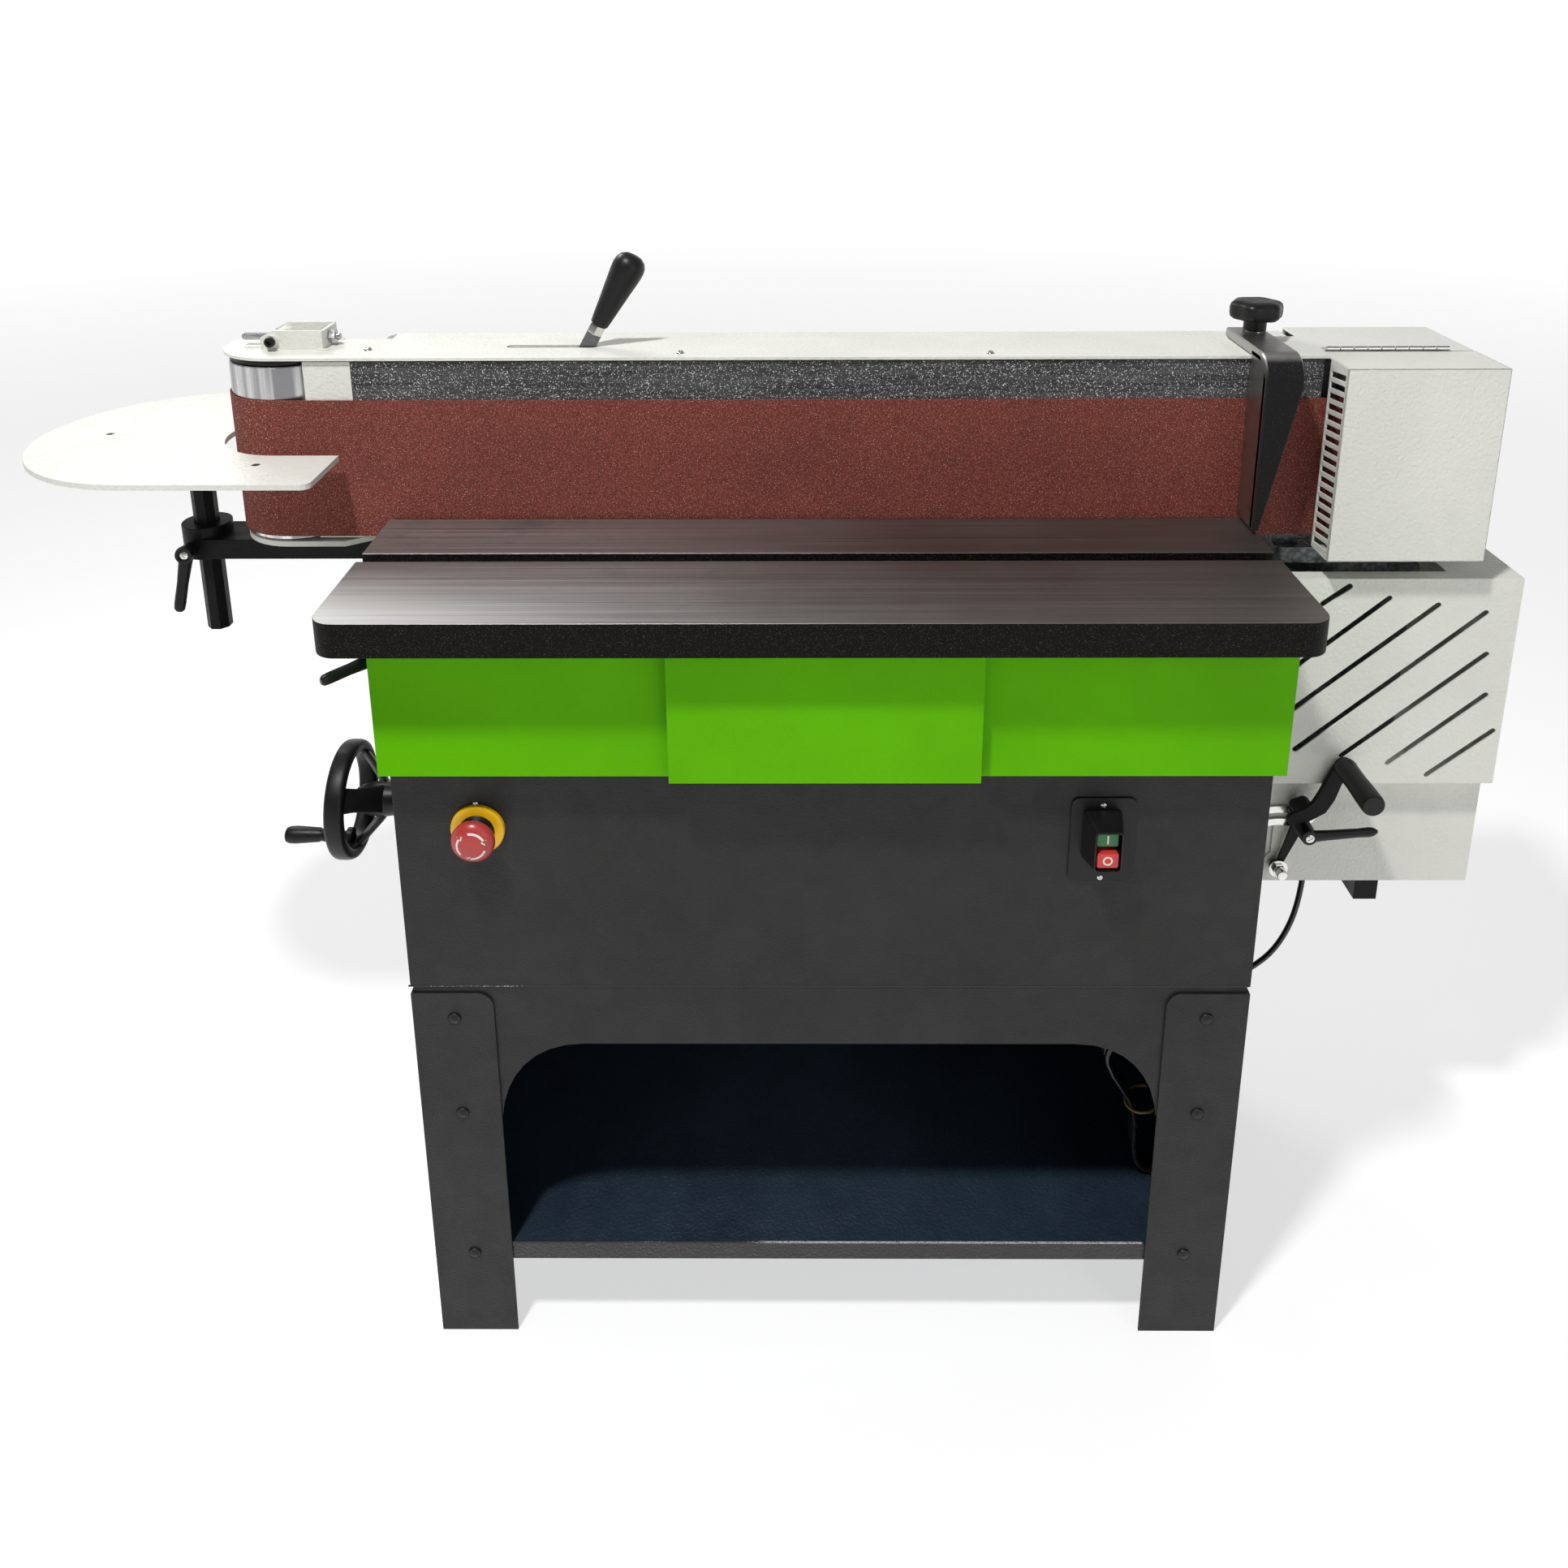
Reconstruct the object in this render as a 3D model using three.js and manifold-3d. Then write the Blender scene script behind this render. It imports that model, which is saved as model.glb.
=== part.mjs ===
// Floor-standing oscillating edge belt sander with a cast work table, an end table and a stop fence.
// Millimetres, +Z up. The operator stands on the -Y side and the drive drum is at the +X end.
// The parts are laid out from the table's front edge (y = 0) and middle (x = 0), and the whole
// machine is then moved so that the origin lies on the floor below the middle of its box.
import * as THREE from "three";
import { mergeVertices } from "three/addons/utils/BufferGeometryUtils.js";
import Module from "manifold-3d";

const wasm = await Module();
wasm.setup();

// ---------- driving dimensions ----------
const GAP = 0.3; // between two pieces that touch on the machine
const SHEET = 2; // folded steel sheet

const TABLE = { half: 457, depth: 250, top: 885, lip: 34, plate: 14, rim: 12, corner: 22 };
const SLOT = { front: 138, width: 19, depth: 9.5 };
const BODY = { left: -415, right: 439, front: 58, back: 470, bottom: 452, top: 745 };
const LEG = { front: 56, width: 84, flange: 60, sheet: 2.5, top: 445 };
const PANEL = { front: 58.8, top: 451.7 };
const ARCH = { left: -331, right: 355, spring: 290, shoulder: 90, top: 381 };
const SHELF = { top: 121, lip: 98 };
const APRON = { left: -418.5, right: 442.5, front: 36, back: 200, bottom: 709, middle: [-141, 152], step: 12 };

const BELT = { front: 254, thickness: 1.2, bottom: 864, top: 1017, length: 2743 };
const DRUM = { radius: 62.7, bottom: 858, top: 1052 };
const BELT_INNER = DRUM.radius + 0.8;
const BELT_OUTER = BELT_INNER + BELT.thickness;
const AXIS_Y = BELT.front + BELT_OUTER;
const IDLER_X = -572;
const DRIVE_X = IDLER_X + BELT.length / 2 - Math.PI * (BELT_INNER + BELT.thickness / 2);

const BEAM = { left: -494, right: 528, front: 270, back: 368, bottom: 866, web: 6 };
const DECK = { bottom: 1060, thickness: 3, right: 531.7, back: 338, endRadius: 66 };
const LEVER = { x: -273, y: 302, z: 1010, angle: 0.501 };
const GUIDES = [-200, 230];
const GUIDE_RADIUS = 15;

const GUARD = { left: 532, right: 695, front: 206, hinge: 280, back: 390, bottom: 853, top: 1061 };
const COVER = { left: 439.4, right: 754, front: 228, lower: 250, back: 422, bottom: 435, top: 824 };
const STROKE = { x: 530, z: 461, lock: [549.6, 519.8], elbow: [545, 545], end: [583, 604] };
const CAM_Z = 572;

const POSTS = [-250, 270]; // table's lift posts
const POST = { y: 130, radius: 14 };
const WHEEL = { y: 180, z: 590, radius: 62.5 };
const SCREW_X = 12;
const END = { x: -690, radius: 165, top: 960, thickness: 6, tip: -502, hollow: 76, postX: -687, flats: 25 };
const STOP = { left: 450, studX: 475, knob: 1097 };

const ESTOP = { x: -333, z: 638 };
const SWITCH = { left: 246, right: 310, bottom: 578, top: 672 };
const GLAND = { x: 352, y: 215 };
const ORIGIN = { x: (END.x - END.radius + COVER.right) / 2, y: (AXIS_Y + END.radius) / 2 };

// ---------- geometry helpers ----------
const solid = (geometry) => {
  const g = geometry.clone();
  g.deleteAttribute("normal");
  g.deleteAttribute("uv");
  const m = mergeVertices(g, 1e-4);
  return new wasm.Manifold(
    new wasm.Mesh({
      numProp: 3,
      vertProperties: new Float32Array(m.attributes.position.array),
      triVerts: new Uint32Array(m.index.array),
    }),
  );
};
const join = (...parts) => parts.reduce((a, b) => a.add(b));
const cut = (body, ...tools) => tools.reduce((a, b) => a.subtract(b), body);

const box = (x0, x1, y0, y1, z0, z1) =>
  solid(new THREE.BoxGeometry(x1 - x0, y1 - y0, z1 - z0).translate((x0 + x1) / 2, (y0 + y1) / 2, (z0 + z1) / 2));

// Round bar or cone between two points.
const bar = (from, to, r0, r1 = r0, sides = 24) => {
  const a = new THREE.Vector3(...from);
  const b = new THREE.Vector3(...to);
  const g = new THREE.CylinderGeometry(r1, r0, a.distanceTo(b), sides);
  const turn = new THREE.Quaternion().setFromUnitVectors(new THREE.Vector3(0, 1, 0), b.clone().sub(a).normalize());
  const middle = a.add(b).multiplyScalar(0.5);
  return solid(g.applyQuaternion(turn).translate(middle.x, middle.y, middle.z));
};

// Flat shapes: drawn in XY, XZ or YZ and given a thickness along the third axis.
const BASIS = {
  z: [[1, 0, 0], [0, 1, 0], [0, 0, 1]],
  y: [[1, 0, 0], [0, 0, 1], [0, -1, 0]],
  x: [[0, 1, 0], [0, 0, 1], [1, 0, 0]],
};
const plate = (shape, axis, from, to, curveSegments = 10) => {
  const g = new THREE.ExtrudeGeometry(shape, { depth: to - from, bevelEnabled: false, curveSegments });
  const [x, y, z] = BASIS[axis].map((v) => new THREE.Vector3(...v));
  g.applyMatrix4(new THREE.Matrix4().makeBasis(x, y, z));
  const start = axis === "y" ? to : from;
  const shift = new THREE.Vector3(axis === "x" ? 1 : 0, axis === "y" ? 1 : 0, axis === "z" ? 1 : 0);
  shift.multiplyScalar(start);
  return solid(g.translate(shift.x, shift.y, shift.z));
};

const outline = (points) => new THREE.Shape(points.map(([a, b]) => new THREE.Vector2(a, b)));

// Rectangle whose corners have their own radii: bottom left, bottom right, top right, top left.
const roundRect = (x0, x1, y0, y1, [bl, br, tr, tl]) => {
  const s = new THREE.Shape();
  s.moveTo(x0 + bl, y0);
  s.lineTo(x1 - br, y0);
  if (br) s.absarc(x1 - br, y0 + br, br, -Math.PI / 2, 0);
  s.lineTo(x1, y1 - tr);
  if (tr) s.absarc(x1 - tr, y1 - tr, tr, 0, Math.PI / 2);
  s.lineTo(x0 + tl, y1);
  if (tl) s.absarc(x0 + tl, y1 - tl, tl, Math.PI / 2, Math.PI);
  s.lineTo(x0, y0 + bl);
  if (bl) s.absarc(x0 + bl, y0 + bl, bl, Math.PI, Math.PI * 1.5);
  return s;
};
const even = (r) => [r, r, r, r];

// Oblong between two points, for slots and levers.
const oblong = (x0, y0, x1, y1, r) => {
  const a = Math.atan2(y1 - y0, x1 - x0);
  const s = new THREE.Shape();
  s.absarc(x0, y0, r, a + Math.PI / 2, a + Math.PI * 1.5);
  s.absarc(x1, y1, r, a - Math.PI / 2, a + Math.PI / 2);
  s.closePath();
  return s;
};

// Tube along a list of points, with flat ends.
const tube = (points, radius, steps, sides = 8, tension = "centripetal") => {
  const path = new THREE.CatmullRomCurve3(points.map((p) => new THREE.Vector3(...p)), false, tension);
  const section = new THREE.Shape();
  for (let i = 0; i < sides; i++) {
    const a = (i / sides) * Math.PI * 2;
    section[i ? "lineTo" : "moveTo"](radius * Math.cos(a), radius * Math.sin(a));
  }
  section.closePath();
  return solid(new THREE.ExtrudeGeometry(section, { steps, bevelEnabled: false, extrudePath: path }));
};

// ---------- the scene graph ----------
const machine = new THREE.Group();
machine.position.set(-ORIGIN.x, -ORIGIN.y, 0);

const paint = (color, roughness, metalness = 0) => new THREE.MeshStandardMaterial({ color, roughness, metalness });
const WHITE = paint(0xe2e2d9, 0.55);
const ANTHRACITE = paint(0x3a3b3d, 0.6);
const GREEN = paint(0x70d000, 0.45);
const CAST = paint(0x5a5654, 0.4, 0.8);
const HAMMER = paint(0x4b4f52, 0.45, 0.3);
const STEEL = paint(0xb8bcc0, 0.3, 1);
const ALUMINIUM = paint(0xc8ccd0, 0.3, 1);
const BLACK = paint(0x101010, 0.5);
const GRAPHITE = paint(0x48484a, 0.8);
const ABRASIVE = paint(0x6b2f28, 0.9);
const RUBBER = paint(0x1c1c1c, 0.9);
const YELLOW = paint(0xf4b400, 0.4);
const RED = paint(0xb93a36, 0.35);
const START_GREEN = paint(0x2f8c3c, 0.35);
const MOTOR_PAINT = paint(0x2b2f33, 0.5, 0.2);

const add = (name, body, material) => {
  const m = body.getMesh();
  const n = m.numProp;
  const xyz = new Float32Array(m.numVert * 3);
  for (let i = 0; i < m.numVert; i++) xyz.set(m.vertProperties.subarray(i * n, i * n + 3), i * 3);
  const g = new THREE.BufferGeometry();
  g.setAttribute("position", new THREE.BufferAttribute(xyz, 3));
  g.setIndex(new THREE.BufferAttribute(new Uint32Array(m.triVerts), 1));
  g.computeVertexNormals();
  const mesh = new THREE.Mesh(g, material);
  mesh.name = name;
  machine.add(mesh);
};

// ---------- stand ----------
function leg(name, right, back) {
  // An angle of bent sheet: a wide face to the front or back and a flange along the side.
  const { front, width, flange, sheet, top } = LEG;
  const x0 = right ? BODY.right - width : BODY.left;
  const y0 = back ? BODY.back - sheet : front;
  const face = roundRect(x0, x0 + width, 0, top, right ? [0, 0, 0, 16] : [0, 0, 16, 0]);
  const fx = right ? BODY.right - sheet : BODY.left;
  const fy = back ? BODY.back - flange : front;
  add(name, plate(face, "y", y0, y0 + sheet, 5).add(box(fx, fx + sheet, fy, fy + flange, 0, top)), ANTHRACITE);
}

function frontPanel() {
  // Front panel behind the legs' faces, with the wide arched opening above the shelf.
  const { left, right, spring, shoulder, top } = ARCH;
  const y0 = PANEL.front;
  const side = LEG.sheet + 0.5;
  const panel = box(BODY.left + side, BODY.right - side, y0, y0 + SHEET, spring, PANEL.top);
  const hole = new THREE.Shape();
  hole.moveTo(left, spring - 1);
  hole.bezierCurveTo(left + 6, spring + 50, left + 34, top, left + shoulder, top);
  hole.lineTo(right - shoulder, top);
  hole.bezierCurveTo(right - 34, top, right - 6, spring + 50, right, spring - 1);
  add("stand_front_panel", panel.subtract(plate(hole, "y", y0 - 1, y0 + SHEET + 1, 8)), ANTHRACITE);
}

function standPanels() {
  // One folded sheet closes the stand's two sides and its back. The shelf is a tray inside it.
  const side = LEG.sheet + GAP;
  const [x0, x1, y1] = [BODY.left + side, BODY.right - side, BODY.back - LEG.sheet - GAP];
  const y0 = PANEL.front + SHEET + GAP;
  const skin = cut(
    box(x0, x1, y0, y1, SHELF.lip, PANEL.top),
    box(x0 + SHEET, x1 - SHEET, y0 - 1, y1 - SHEET, SHELF.lip - 1, PANEL.top + 1),
    bar([x1 - 5, 325, 217], [x1 + 5, 325, 217], 6, 6, 12), // motor cable's grommet
  );
  add("stand_wrap_panel", skin, ANTHRACITE);
  const in_ = SHEET + GAP;
  const tray = box(x0 + in_, x1 - in_, PANEL.front + 1, y1 - in_, SHELF.top - SHEET, SHELF.top);
  const lip = box(x0 + in_, x1 - in_, PANEL.front, PANEL.front + SHEET, SHELF.lip, SHELF.top);
  add("shelf", tray.add(lip), ANTHRACITE);
}

// ---------- cabinet ----------
function cabinet() {
  const { left, right, front, back, bottom, top } = BODY;
  const { y, z } = WHEEL;
  const outer = box(left, right, front, back, bottom, top);
  const inner = box(left + SHEET, right - SHEET, front + SHEET, back - SHEET, bottom + SHEET, top + 1);
  const bearing = bar([left - 4, y, z], [left + 18, y, z], 24);
  const holes = [
    bar([left - 9, y, z], [left + 29, y, z], 9.4, 9.4, 20),
    bar([GLAND.x, GLAND.y, bottom - 5], [GLAND.x, GLAND.y, bottom + 5], 8),
    bar([ESTOP.x, front - 5, ESTOP.z], [ESTOP.x, front + 5, ESTOP.z], 11.4),
    box(262, 291, front - 5, front + 5, 600, 660),
  ];
  add("cabinet_shell", cut(outer.subtract(inner).add(bearing), ...holes), ANTHRACITE);

  // Deck over the rear of the cabinet with two cast guide bosses for the sanding head.
  const z0 = top + GAP;
  let deck = box(left + 2, right - 2, 236, back - 2, z0, z0 + 3);
  for (const x of GUIDES) deck = deck.add(bar([x, AXIS_Y, 700], [x, AXIS_Y, 790], 30));
  for (const x of GUIDES) deck = deck.subtract(bar([x, AXIS_Y, 690], [x, AXIS_Y, 800], GUIDE_RADIUS + 0.4));
  add("cabinet_top", deck, ANTHRACITE);
}

// ---------- work table and its lift ----------
function workTable() {
  const { half, depth, top, lip, plate: thick, rim, corner } = TABLE;
  let body = plate(roundRect(-half, half, 0, depth, [corner, corner, 3, 3]), "z", top - lip, top, 6);
  body = body.subtract(box(-half + rim, half - rim, rim, depth - rim, top - lip - 1, top - thick));
  for (const x of [-370, -140, 150, 380]) {
    body = body.add(box(x - 4, x + 4, rim - 1, 50, top - lip + 8, top - thick + 1)); // ribs
  }
  const { front, width, depth: deep } = SLOT;
  add("main_table", body.subtract(box(-half - 1, half + 1, front, front + width, top - deep, top + 1)), CAST);
}

function apron() {
  const { left, right, front, back, bottom, middle, step } = APRON;
  const top = TABLE.top - TABLE.lip - GAP;
  const [m0, m1] = middle;
  const y = front - step;
  const body = join(
    box(left, m0 + SHEET, front, front + SHEET, bottom, top),
    box(m1 - SHEET, right, front, front + SHEET, bottom, top),
    box(m0, m1, y, y + SHEET, bottom, top),
    box(m0, m0 + SHEET, y, front + SHEET, bottom, top),
    box(m1 - SHEET, m1, y, front + SHEET, bottom, top),
    box(left, left + SHEET, front, back, bottom, top),
    box(right - SHEET, right, front, back, bottom, top),
    box(left, right, front, 52, top - SHEET, top),
    box(m0, m1, y, front + SHEET, top - SHEET, top),
  );
  add("table_apron", body, GREEN);
}

function saddle() {
  // Cast cross beam under the table with two bored bosses on the lift posts.
  const top = TABLE.top - TABLE.plate - GAP;
  let body = box(-290, 310, 104, 206, 812, 850);
  body = body.subtract(box(-205, -20, 96, 198, 811, 842), box(44, 225, 96, 198, 811, 842)); // cored
  for (const x of POSTS) {
    body = join(body, bar([x, POST.y, 740], [x, POST.y, 850], 26), box(x - 40, x + 40, 60, 206, 849, top));
  }
  for (const x of POSTS) body = body.subtract(bar([x, POST.y, 730], [x, POST.y, top + 1], POST.radius + 0.4));
  body = body.subtract(bar([SCREW_X, WHEEL.y, 800], [SCREW_X, WHEEL.y, 860], 10.5));
  add("table_saddle", body, HAMMER);
  POSTS.forEach((x, i) => {
    const floor = BODY.bottom + SHEET + GAP;
    const foot = bar([x, POST.y, floor], [x, POST.y, floor + 12], 28);
    const post = bar([x, POST.y, floor + 10], [x, POST.y, 840], POST.radius);
    add(["lift_post_left", "lift_post_right"][i], foot.add(post), STEEL);
  });
}

function liftDrive() {
  // The handwheel's shaft turns a bevel pinion, and the pinion turns the vertical screw.
  const { y, z, radius } = WHEEL;
  const screw = join(
    bar([SCREW_X, y, BODY.bottom + 4.3], [SCREW_X, y, 838], 10),
    bar([SCREW_X, y, z + 14], [SCREW_X, y, z + 24], 13.5, 23.5),
  );
  add("elevating_screw", screw, STEEL);
  let wheel = cut(
    bar([-512, y, z], [-492, y, z], radius, radius, 40),
    bar([-513, y, z], [-491, y, z], radius - 10.5, radius - 10.5, 40),
  );
  for (let i = 0; i < 3; i++) {
    const a = -Math.PI / 2 + (i * Math.PI * 2) / 3;
    const r = radius - 6;
    wheel = wheel.add(bar([-482, y, z], [-502, y + r * Math.cos(a), z + r * Math.sin(a)], 9, 7, 12));
  }
  wheel = join(
    wheel,
    bar([-494, y, z], [-470, y, z], 17),
    bar([-492, y, z], [-12, y, z], 9, 9, 20),
    bar([-14, y, z], [-2, y, z], 23.5, 13.5),
    bar([-502, y, z - 45], [-580, y, z - 45], 4, 4, 12),
  );
  add("handwheel", wheel, BLACK);
  const at = (x) => [x, y, z - 45];
  const grip = join(
    bar(at(-516), at(-540), 7.5, 7.5, 20),
    bar(at(-540), at(-574), 7.5, 9.5, 20),
    bar(at(-574), at(-578), 9.5, 7, 20),
  );
  add("wheel_grip", grip.subtract(bar(at(-510), at(-590), 4.4, 4.4, 12)), BLACK);
}

function heightLock() {
  // Clamp lever on the apron's left end. Its arm leans outwards and forwards.
  const [y, z] = [120, 790];
  const body = join(
    bar([APRON.left - GAP, y, z], [-446, y, z], 9, 11, 18),
    bar([-438, y, z], [-480, 78, 786], 8, 6.5, 12),
  );
  add("height_lock_lever", body, BLACK);
}

// ---------- sanding head ----------
function headBeam() {
  const { left, right, front, back, bottom, web } = BEAM;
  const top = DECK.bottom - GAP;
  let body = join(
    box(left, right, front, front + web, bottom, top),
    box(left, right, back - web, back, bottom, 1052.6),
    box(left, right, front, back, bottom, bottom + web),
    box(-536, -486, 256.2, 260.2, 862, 1058), // cheek beside the idler
    box(left, -486, 258, front + web, bottom, 1058),
  );
  for (const x of [-322, 120, 520]) body = body.add(box(x, x + 6, front, back, bottom, 1040));
  body = cut(
    body,
    box(-470, -410, 280, 358, bottom - 1, bottom + web + 1), // slot for the idler's carriage
    bar([-330, AXIS_Y, 1000], [-310, AXIS_Y, 1000], 5, 5, 16), // spring rod
  );
  add("head_beam", body, WHITE);
  GUIDES.forEach((x, i) => {
    const post = bar([x, AXIS_Y, 600], [x, AXIS_Y, bottom - GAP], GUIDE_RADIUS);
    add(["head_post_left", "head_post_right"][i], post, STEEL);
  });
  const face = BELT.front + BELT.thickness + GAP;
  const x1 = 528;
  add("graphite_pad", box(-485, x1, face, face + 3, 868, 1058), GRAPHITE);
  add("platen", box(-485, x1, face + 3 + GAP, front - GAP, bottom, top), STEEL);
}

function topPlate() {
  // Flat cover over the head with the tracking bracket welded on at the idler's end.
  const { bottom, thickness, right, back, endRadius: r } = DECK;
  const rise = Math.asin((back - AXIS_Y) / r);
  const s = new THREE.Shape();
  s.moveTo(right, AXIS_Y - r);
  s.lineTo(right, back);
  s.lineTo(IDLER_X, back);
  s.absarc(IDLER_X, AXIS_Y, r, Math.PI - rise, Math.PI * 1.5);
  const top = bottom + thickness;
  const cheek = (y) => plate(outline([[-590, top - 1], [-524, top - 1], [-524, 1084], [-576, 1084], [-590, 1077]]), "y", y, y + 3);
  const body = join(
    plate(s, "z", bottom, top, 10),
    cheek(288),
    cheek(331),
    box(-527, -524, 289, 333, top - 1, 1083),
    bar([-578, 285.2, 1073], [-578, 339.6, 1073], 7, 7, 18),
  );
  const slots = [
    plate(oblong(-325, LEVER.y, -239, LEVER.y, 6), "z", bottom - 1, top + 1), // tension lever
    plate(oblong(460, AXIS_Y, 495, AXIS_Y, 6), "z", bottom - 1, top + 1), // work stop
    bar([-595.3, 311, 1073], [-519.7, 311, 1073], 4.4, 4.4, 14), // tracking screw
  ];
  add("top_plate", cut(body, ...slots), WHITE);
  const screw = join(
    bar([-618, 311, 1073], [-512, 311, 1073], 4, 4, 16),
    bar([-523.6, 311, 1073], [-516, 311, 1073], 8, 8, 6),
  );
  add("tracking_screw", screw, STEEL);
}

function drums() {
  // The idler turns on the carriage's fixed shaft. The drive drum is on the motor's.
  const idler = bar([IDLER_X, AXIS_Y, DRUM.bottom + 1], [IDLER_X, AXIS_Y, DRUM.top], DRUM.radius, DRUM.radius, 40);
  const bore = bar([IDLER_X, AXIS_Y, 850], [IDLER_X, AXIS_Y, 1060], 15.4);
  add("idler_drum", idler.subtract(bore), ALUMINIUM);
  const drive = join(
    bar([DRIVE_X, AXIS_Y, DRUM.bottom], [DRIVE_X, AXIS_Y, DRUM.top], DRUM.radius, DRUM.radius, 40),
    bar([DRIVE_X, AXIS_Y, 812.5], [DRIVE_X, AXIS_Y, DRUM.bottom + 1], 14),
  );
  add("drive_drum", drive, ALUMINIUM);

  const loop = (path, r) => {
    path.absarc(IDLER_X, AXIS_Y, r, Math.PI / 2, Math.PI * 1.5);
    path.absarc(DRIVE_X, AXIS_Y, r, -Math.PI / 2, Math.PI / 2);
    path.closePath();
    return path;
  };
  const shape = loop(new THREE.Shape(), BELT_OUTER);
  shape.holes.push(loop(new THREE.Path(), BELT_INNER));
  add("abrasive_belt", plate(shape, "z", BELT.bottom, BELT.top, 20), ABRASIVE);
}

function carriage() {
  // C-shaped carriage with the fixed idler shaft. It slides along X inside the head's beam.
  const flange = new THREE.Shape();
  flange.absarc(IDLER_X, AXIS_Y, 62, Math.PI / 2, Math.PI * 1.5);
  flange.lineTo(-510, AXIS_Y - 62);
  flange.lineTo(-460, AXIS_Y - 28);
  flange.lineTo(-430, AXIS_Y - 28);
  flange.lineTo(-430, AXIS_Y + 28);
  flange.lineTo(-460, AXIS_Y + 28);
  flange.lineTo(-510, AXIS_Y + 62);
  const [y0, y1] = [AXIS_Y - 18, AXIS_Y + 18];
  const body = join(
    plate(flange, "z", 851, 857, 10),
    box(-450, -430, y0, y1, 852, 1058.4),
    plate(oblong(-580, AXIS_Y, -440, AXIS_Y, 18), "z", 1053.4, 1058.4, 8),
    bar([IDLER_X, AXIS_Y, 852], [IDLER_X, AXIS_Y, 1058], 15),
    bar([-440, AXIS_Y, 1000], [-300, AXIS_Y, 1000], 4, 4, 16),
  );
  add("idler_carriage", body, WHITE);
}

function tension() {
  const turns = 9;
  const [from, to] = [-427.5, -326];
  const points = Array.from({ length: turns * 8 + 1 }, (_, i) => {
    const a = (i / 8) * Math.PI * 2;
    return [from + ((to - from) * i) / (turns * 8), AXIS_Y + 11 * Math.cos(a), 1000 + 11 * Math.sin(a)];
  });
  add("tension_spring", tube(points, 1.5, turns * 10, 6), STEEL);

  // Lever: a flat bar from its pivot up through the slot, a hex nut, and a tapered grip.
  const at = (d) => [LEVER.x + d * Math.sin(LEVER.angle), LEVER.y, LEVER.z + d * Math.cos(LEVER.angle)];
  const [x1, , z1] = at(80);
  const body = join(
    plate(oblong(LEVER.x, LEVER.z, x1, z1, 8), "y", LEVER.y - 3, LEVER.y + 3, 6),
    bar([LEVER.x, LEVER.y - 14, LEVER.z], [LEVER.x, LEVER.y + 14, LEVER.z], 11),
    bar(at(77), at(89), 9, 9, 6),
    bar(at(88), at(164), 9.5, 17.5, 20),
    bar(at(164), at(172), 17.5, 11, 20),
  );
  add("tension_lever", body, BLACK);
}

function rearGuard() {
  const [x0, x1, z1] = [-498, DECK.right, 1055];
  const wall = plate(roundRect(x0, x1, 862, z1, [0, 0, 0, 22]), "y", 396, 398, 6);
  add("rear_belt_guard", wall.add(box(x0 + 22, x1, DECK.back + GAP, 398, z1 - SHEET, z1)), WHITE);
}

// ---------- drive drum's guard ----------
function drumGuard() {
  const { left, right, front, hinge, back, bottom, top } = GUARD;
  const fixed = join(
    box(left, right, hinge + 2, back, top - SHEET, top),
    box(left, right, back - SHEET, back, bottom, top),
    box(right - SHEET, right, hinge + 2, back, bottom, top),
  );
  add("drum_guard", fixed, WHITE);
  const inner = BELT.front - 4;
  let door = join(
    box(left, right, front, front + SHEET, bottom, top),
    box(left, right, front, hinge - 2, top - SHEET, top),
    box(left, left + SHEET, front, inner, bottom, top),
    box(right - SHEET, right, front, hinge - 2, bottom, top),
    box(left, right, front, inner - 2, bottom, bottom + SHEET),
  );
  for (let i = 0; i < 17; i++) {
    const z = bottom + 11 + i * 11.4;
    const slot = outline([[front + 7, z], [inner - 8, z - 3], [inner - 8, z + 2.5], [front + 7, z + 5.5]]);
    door = door.subtract(plate(slot, "x", left - 1, left + SHEET + 1));
  }
  add("guard_door", door, WHITE);
  const [x0, x1, z] = [538, 668, top + 2.8];
  const leaf = box(x0, x1, hinge + 1, hinge + 12, top + GAP, top + 1.5);
  add("guard_hinge", bar([x0, hinge, z], [x1, hinge, z], 2.4, 2.4, 14).add(leaf), STEEL);
}

// ---------- motor, oscillation drive and their cover ----------
function motorCover() {
  const { left, right, front, lower, back, bottom, top } = COVER;
  const profile = (t) =>
    outline([
      [front + t, 577],
      [front + t, top - t],
      [back - t, top - t],
      [back - t, bottom - t],
      [lower + t, bottom - t],
      [lower + t, 565],
    ]);
  const slots = [
    [517, 717, 613, 801],
    [523, 669, 666, 793],
    [531, 620, 718, 784],
    [583, 612, 725, 735],
    [635, 603, 731, 686],
    [680, 588, 745, 642],
    [543, 795, 569, 815],
  ];
  const cuts = slots.map(([x0, z0, x1, z1]) => plate(oblong(x0, z0, x1, z1, 3.5), "y", front - 1, front + 3, 4));
  const body = cut(
    plate(profile(0), "x", left, right),
    plate(profile(SHEET), "x", left - 1, right - SHEET),
    box(507, 680, 247, 400, top - 4, top + 1),
    ...cuts,
  );
  add("motor_cover", body, WHITE);
}

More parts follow.
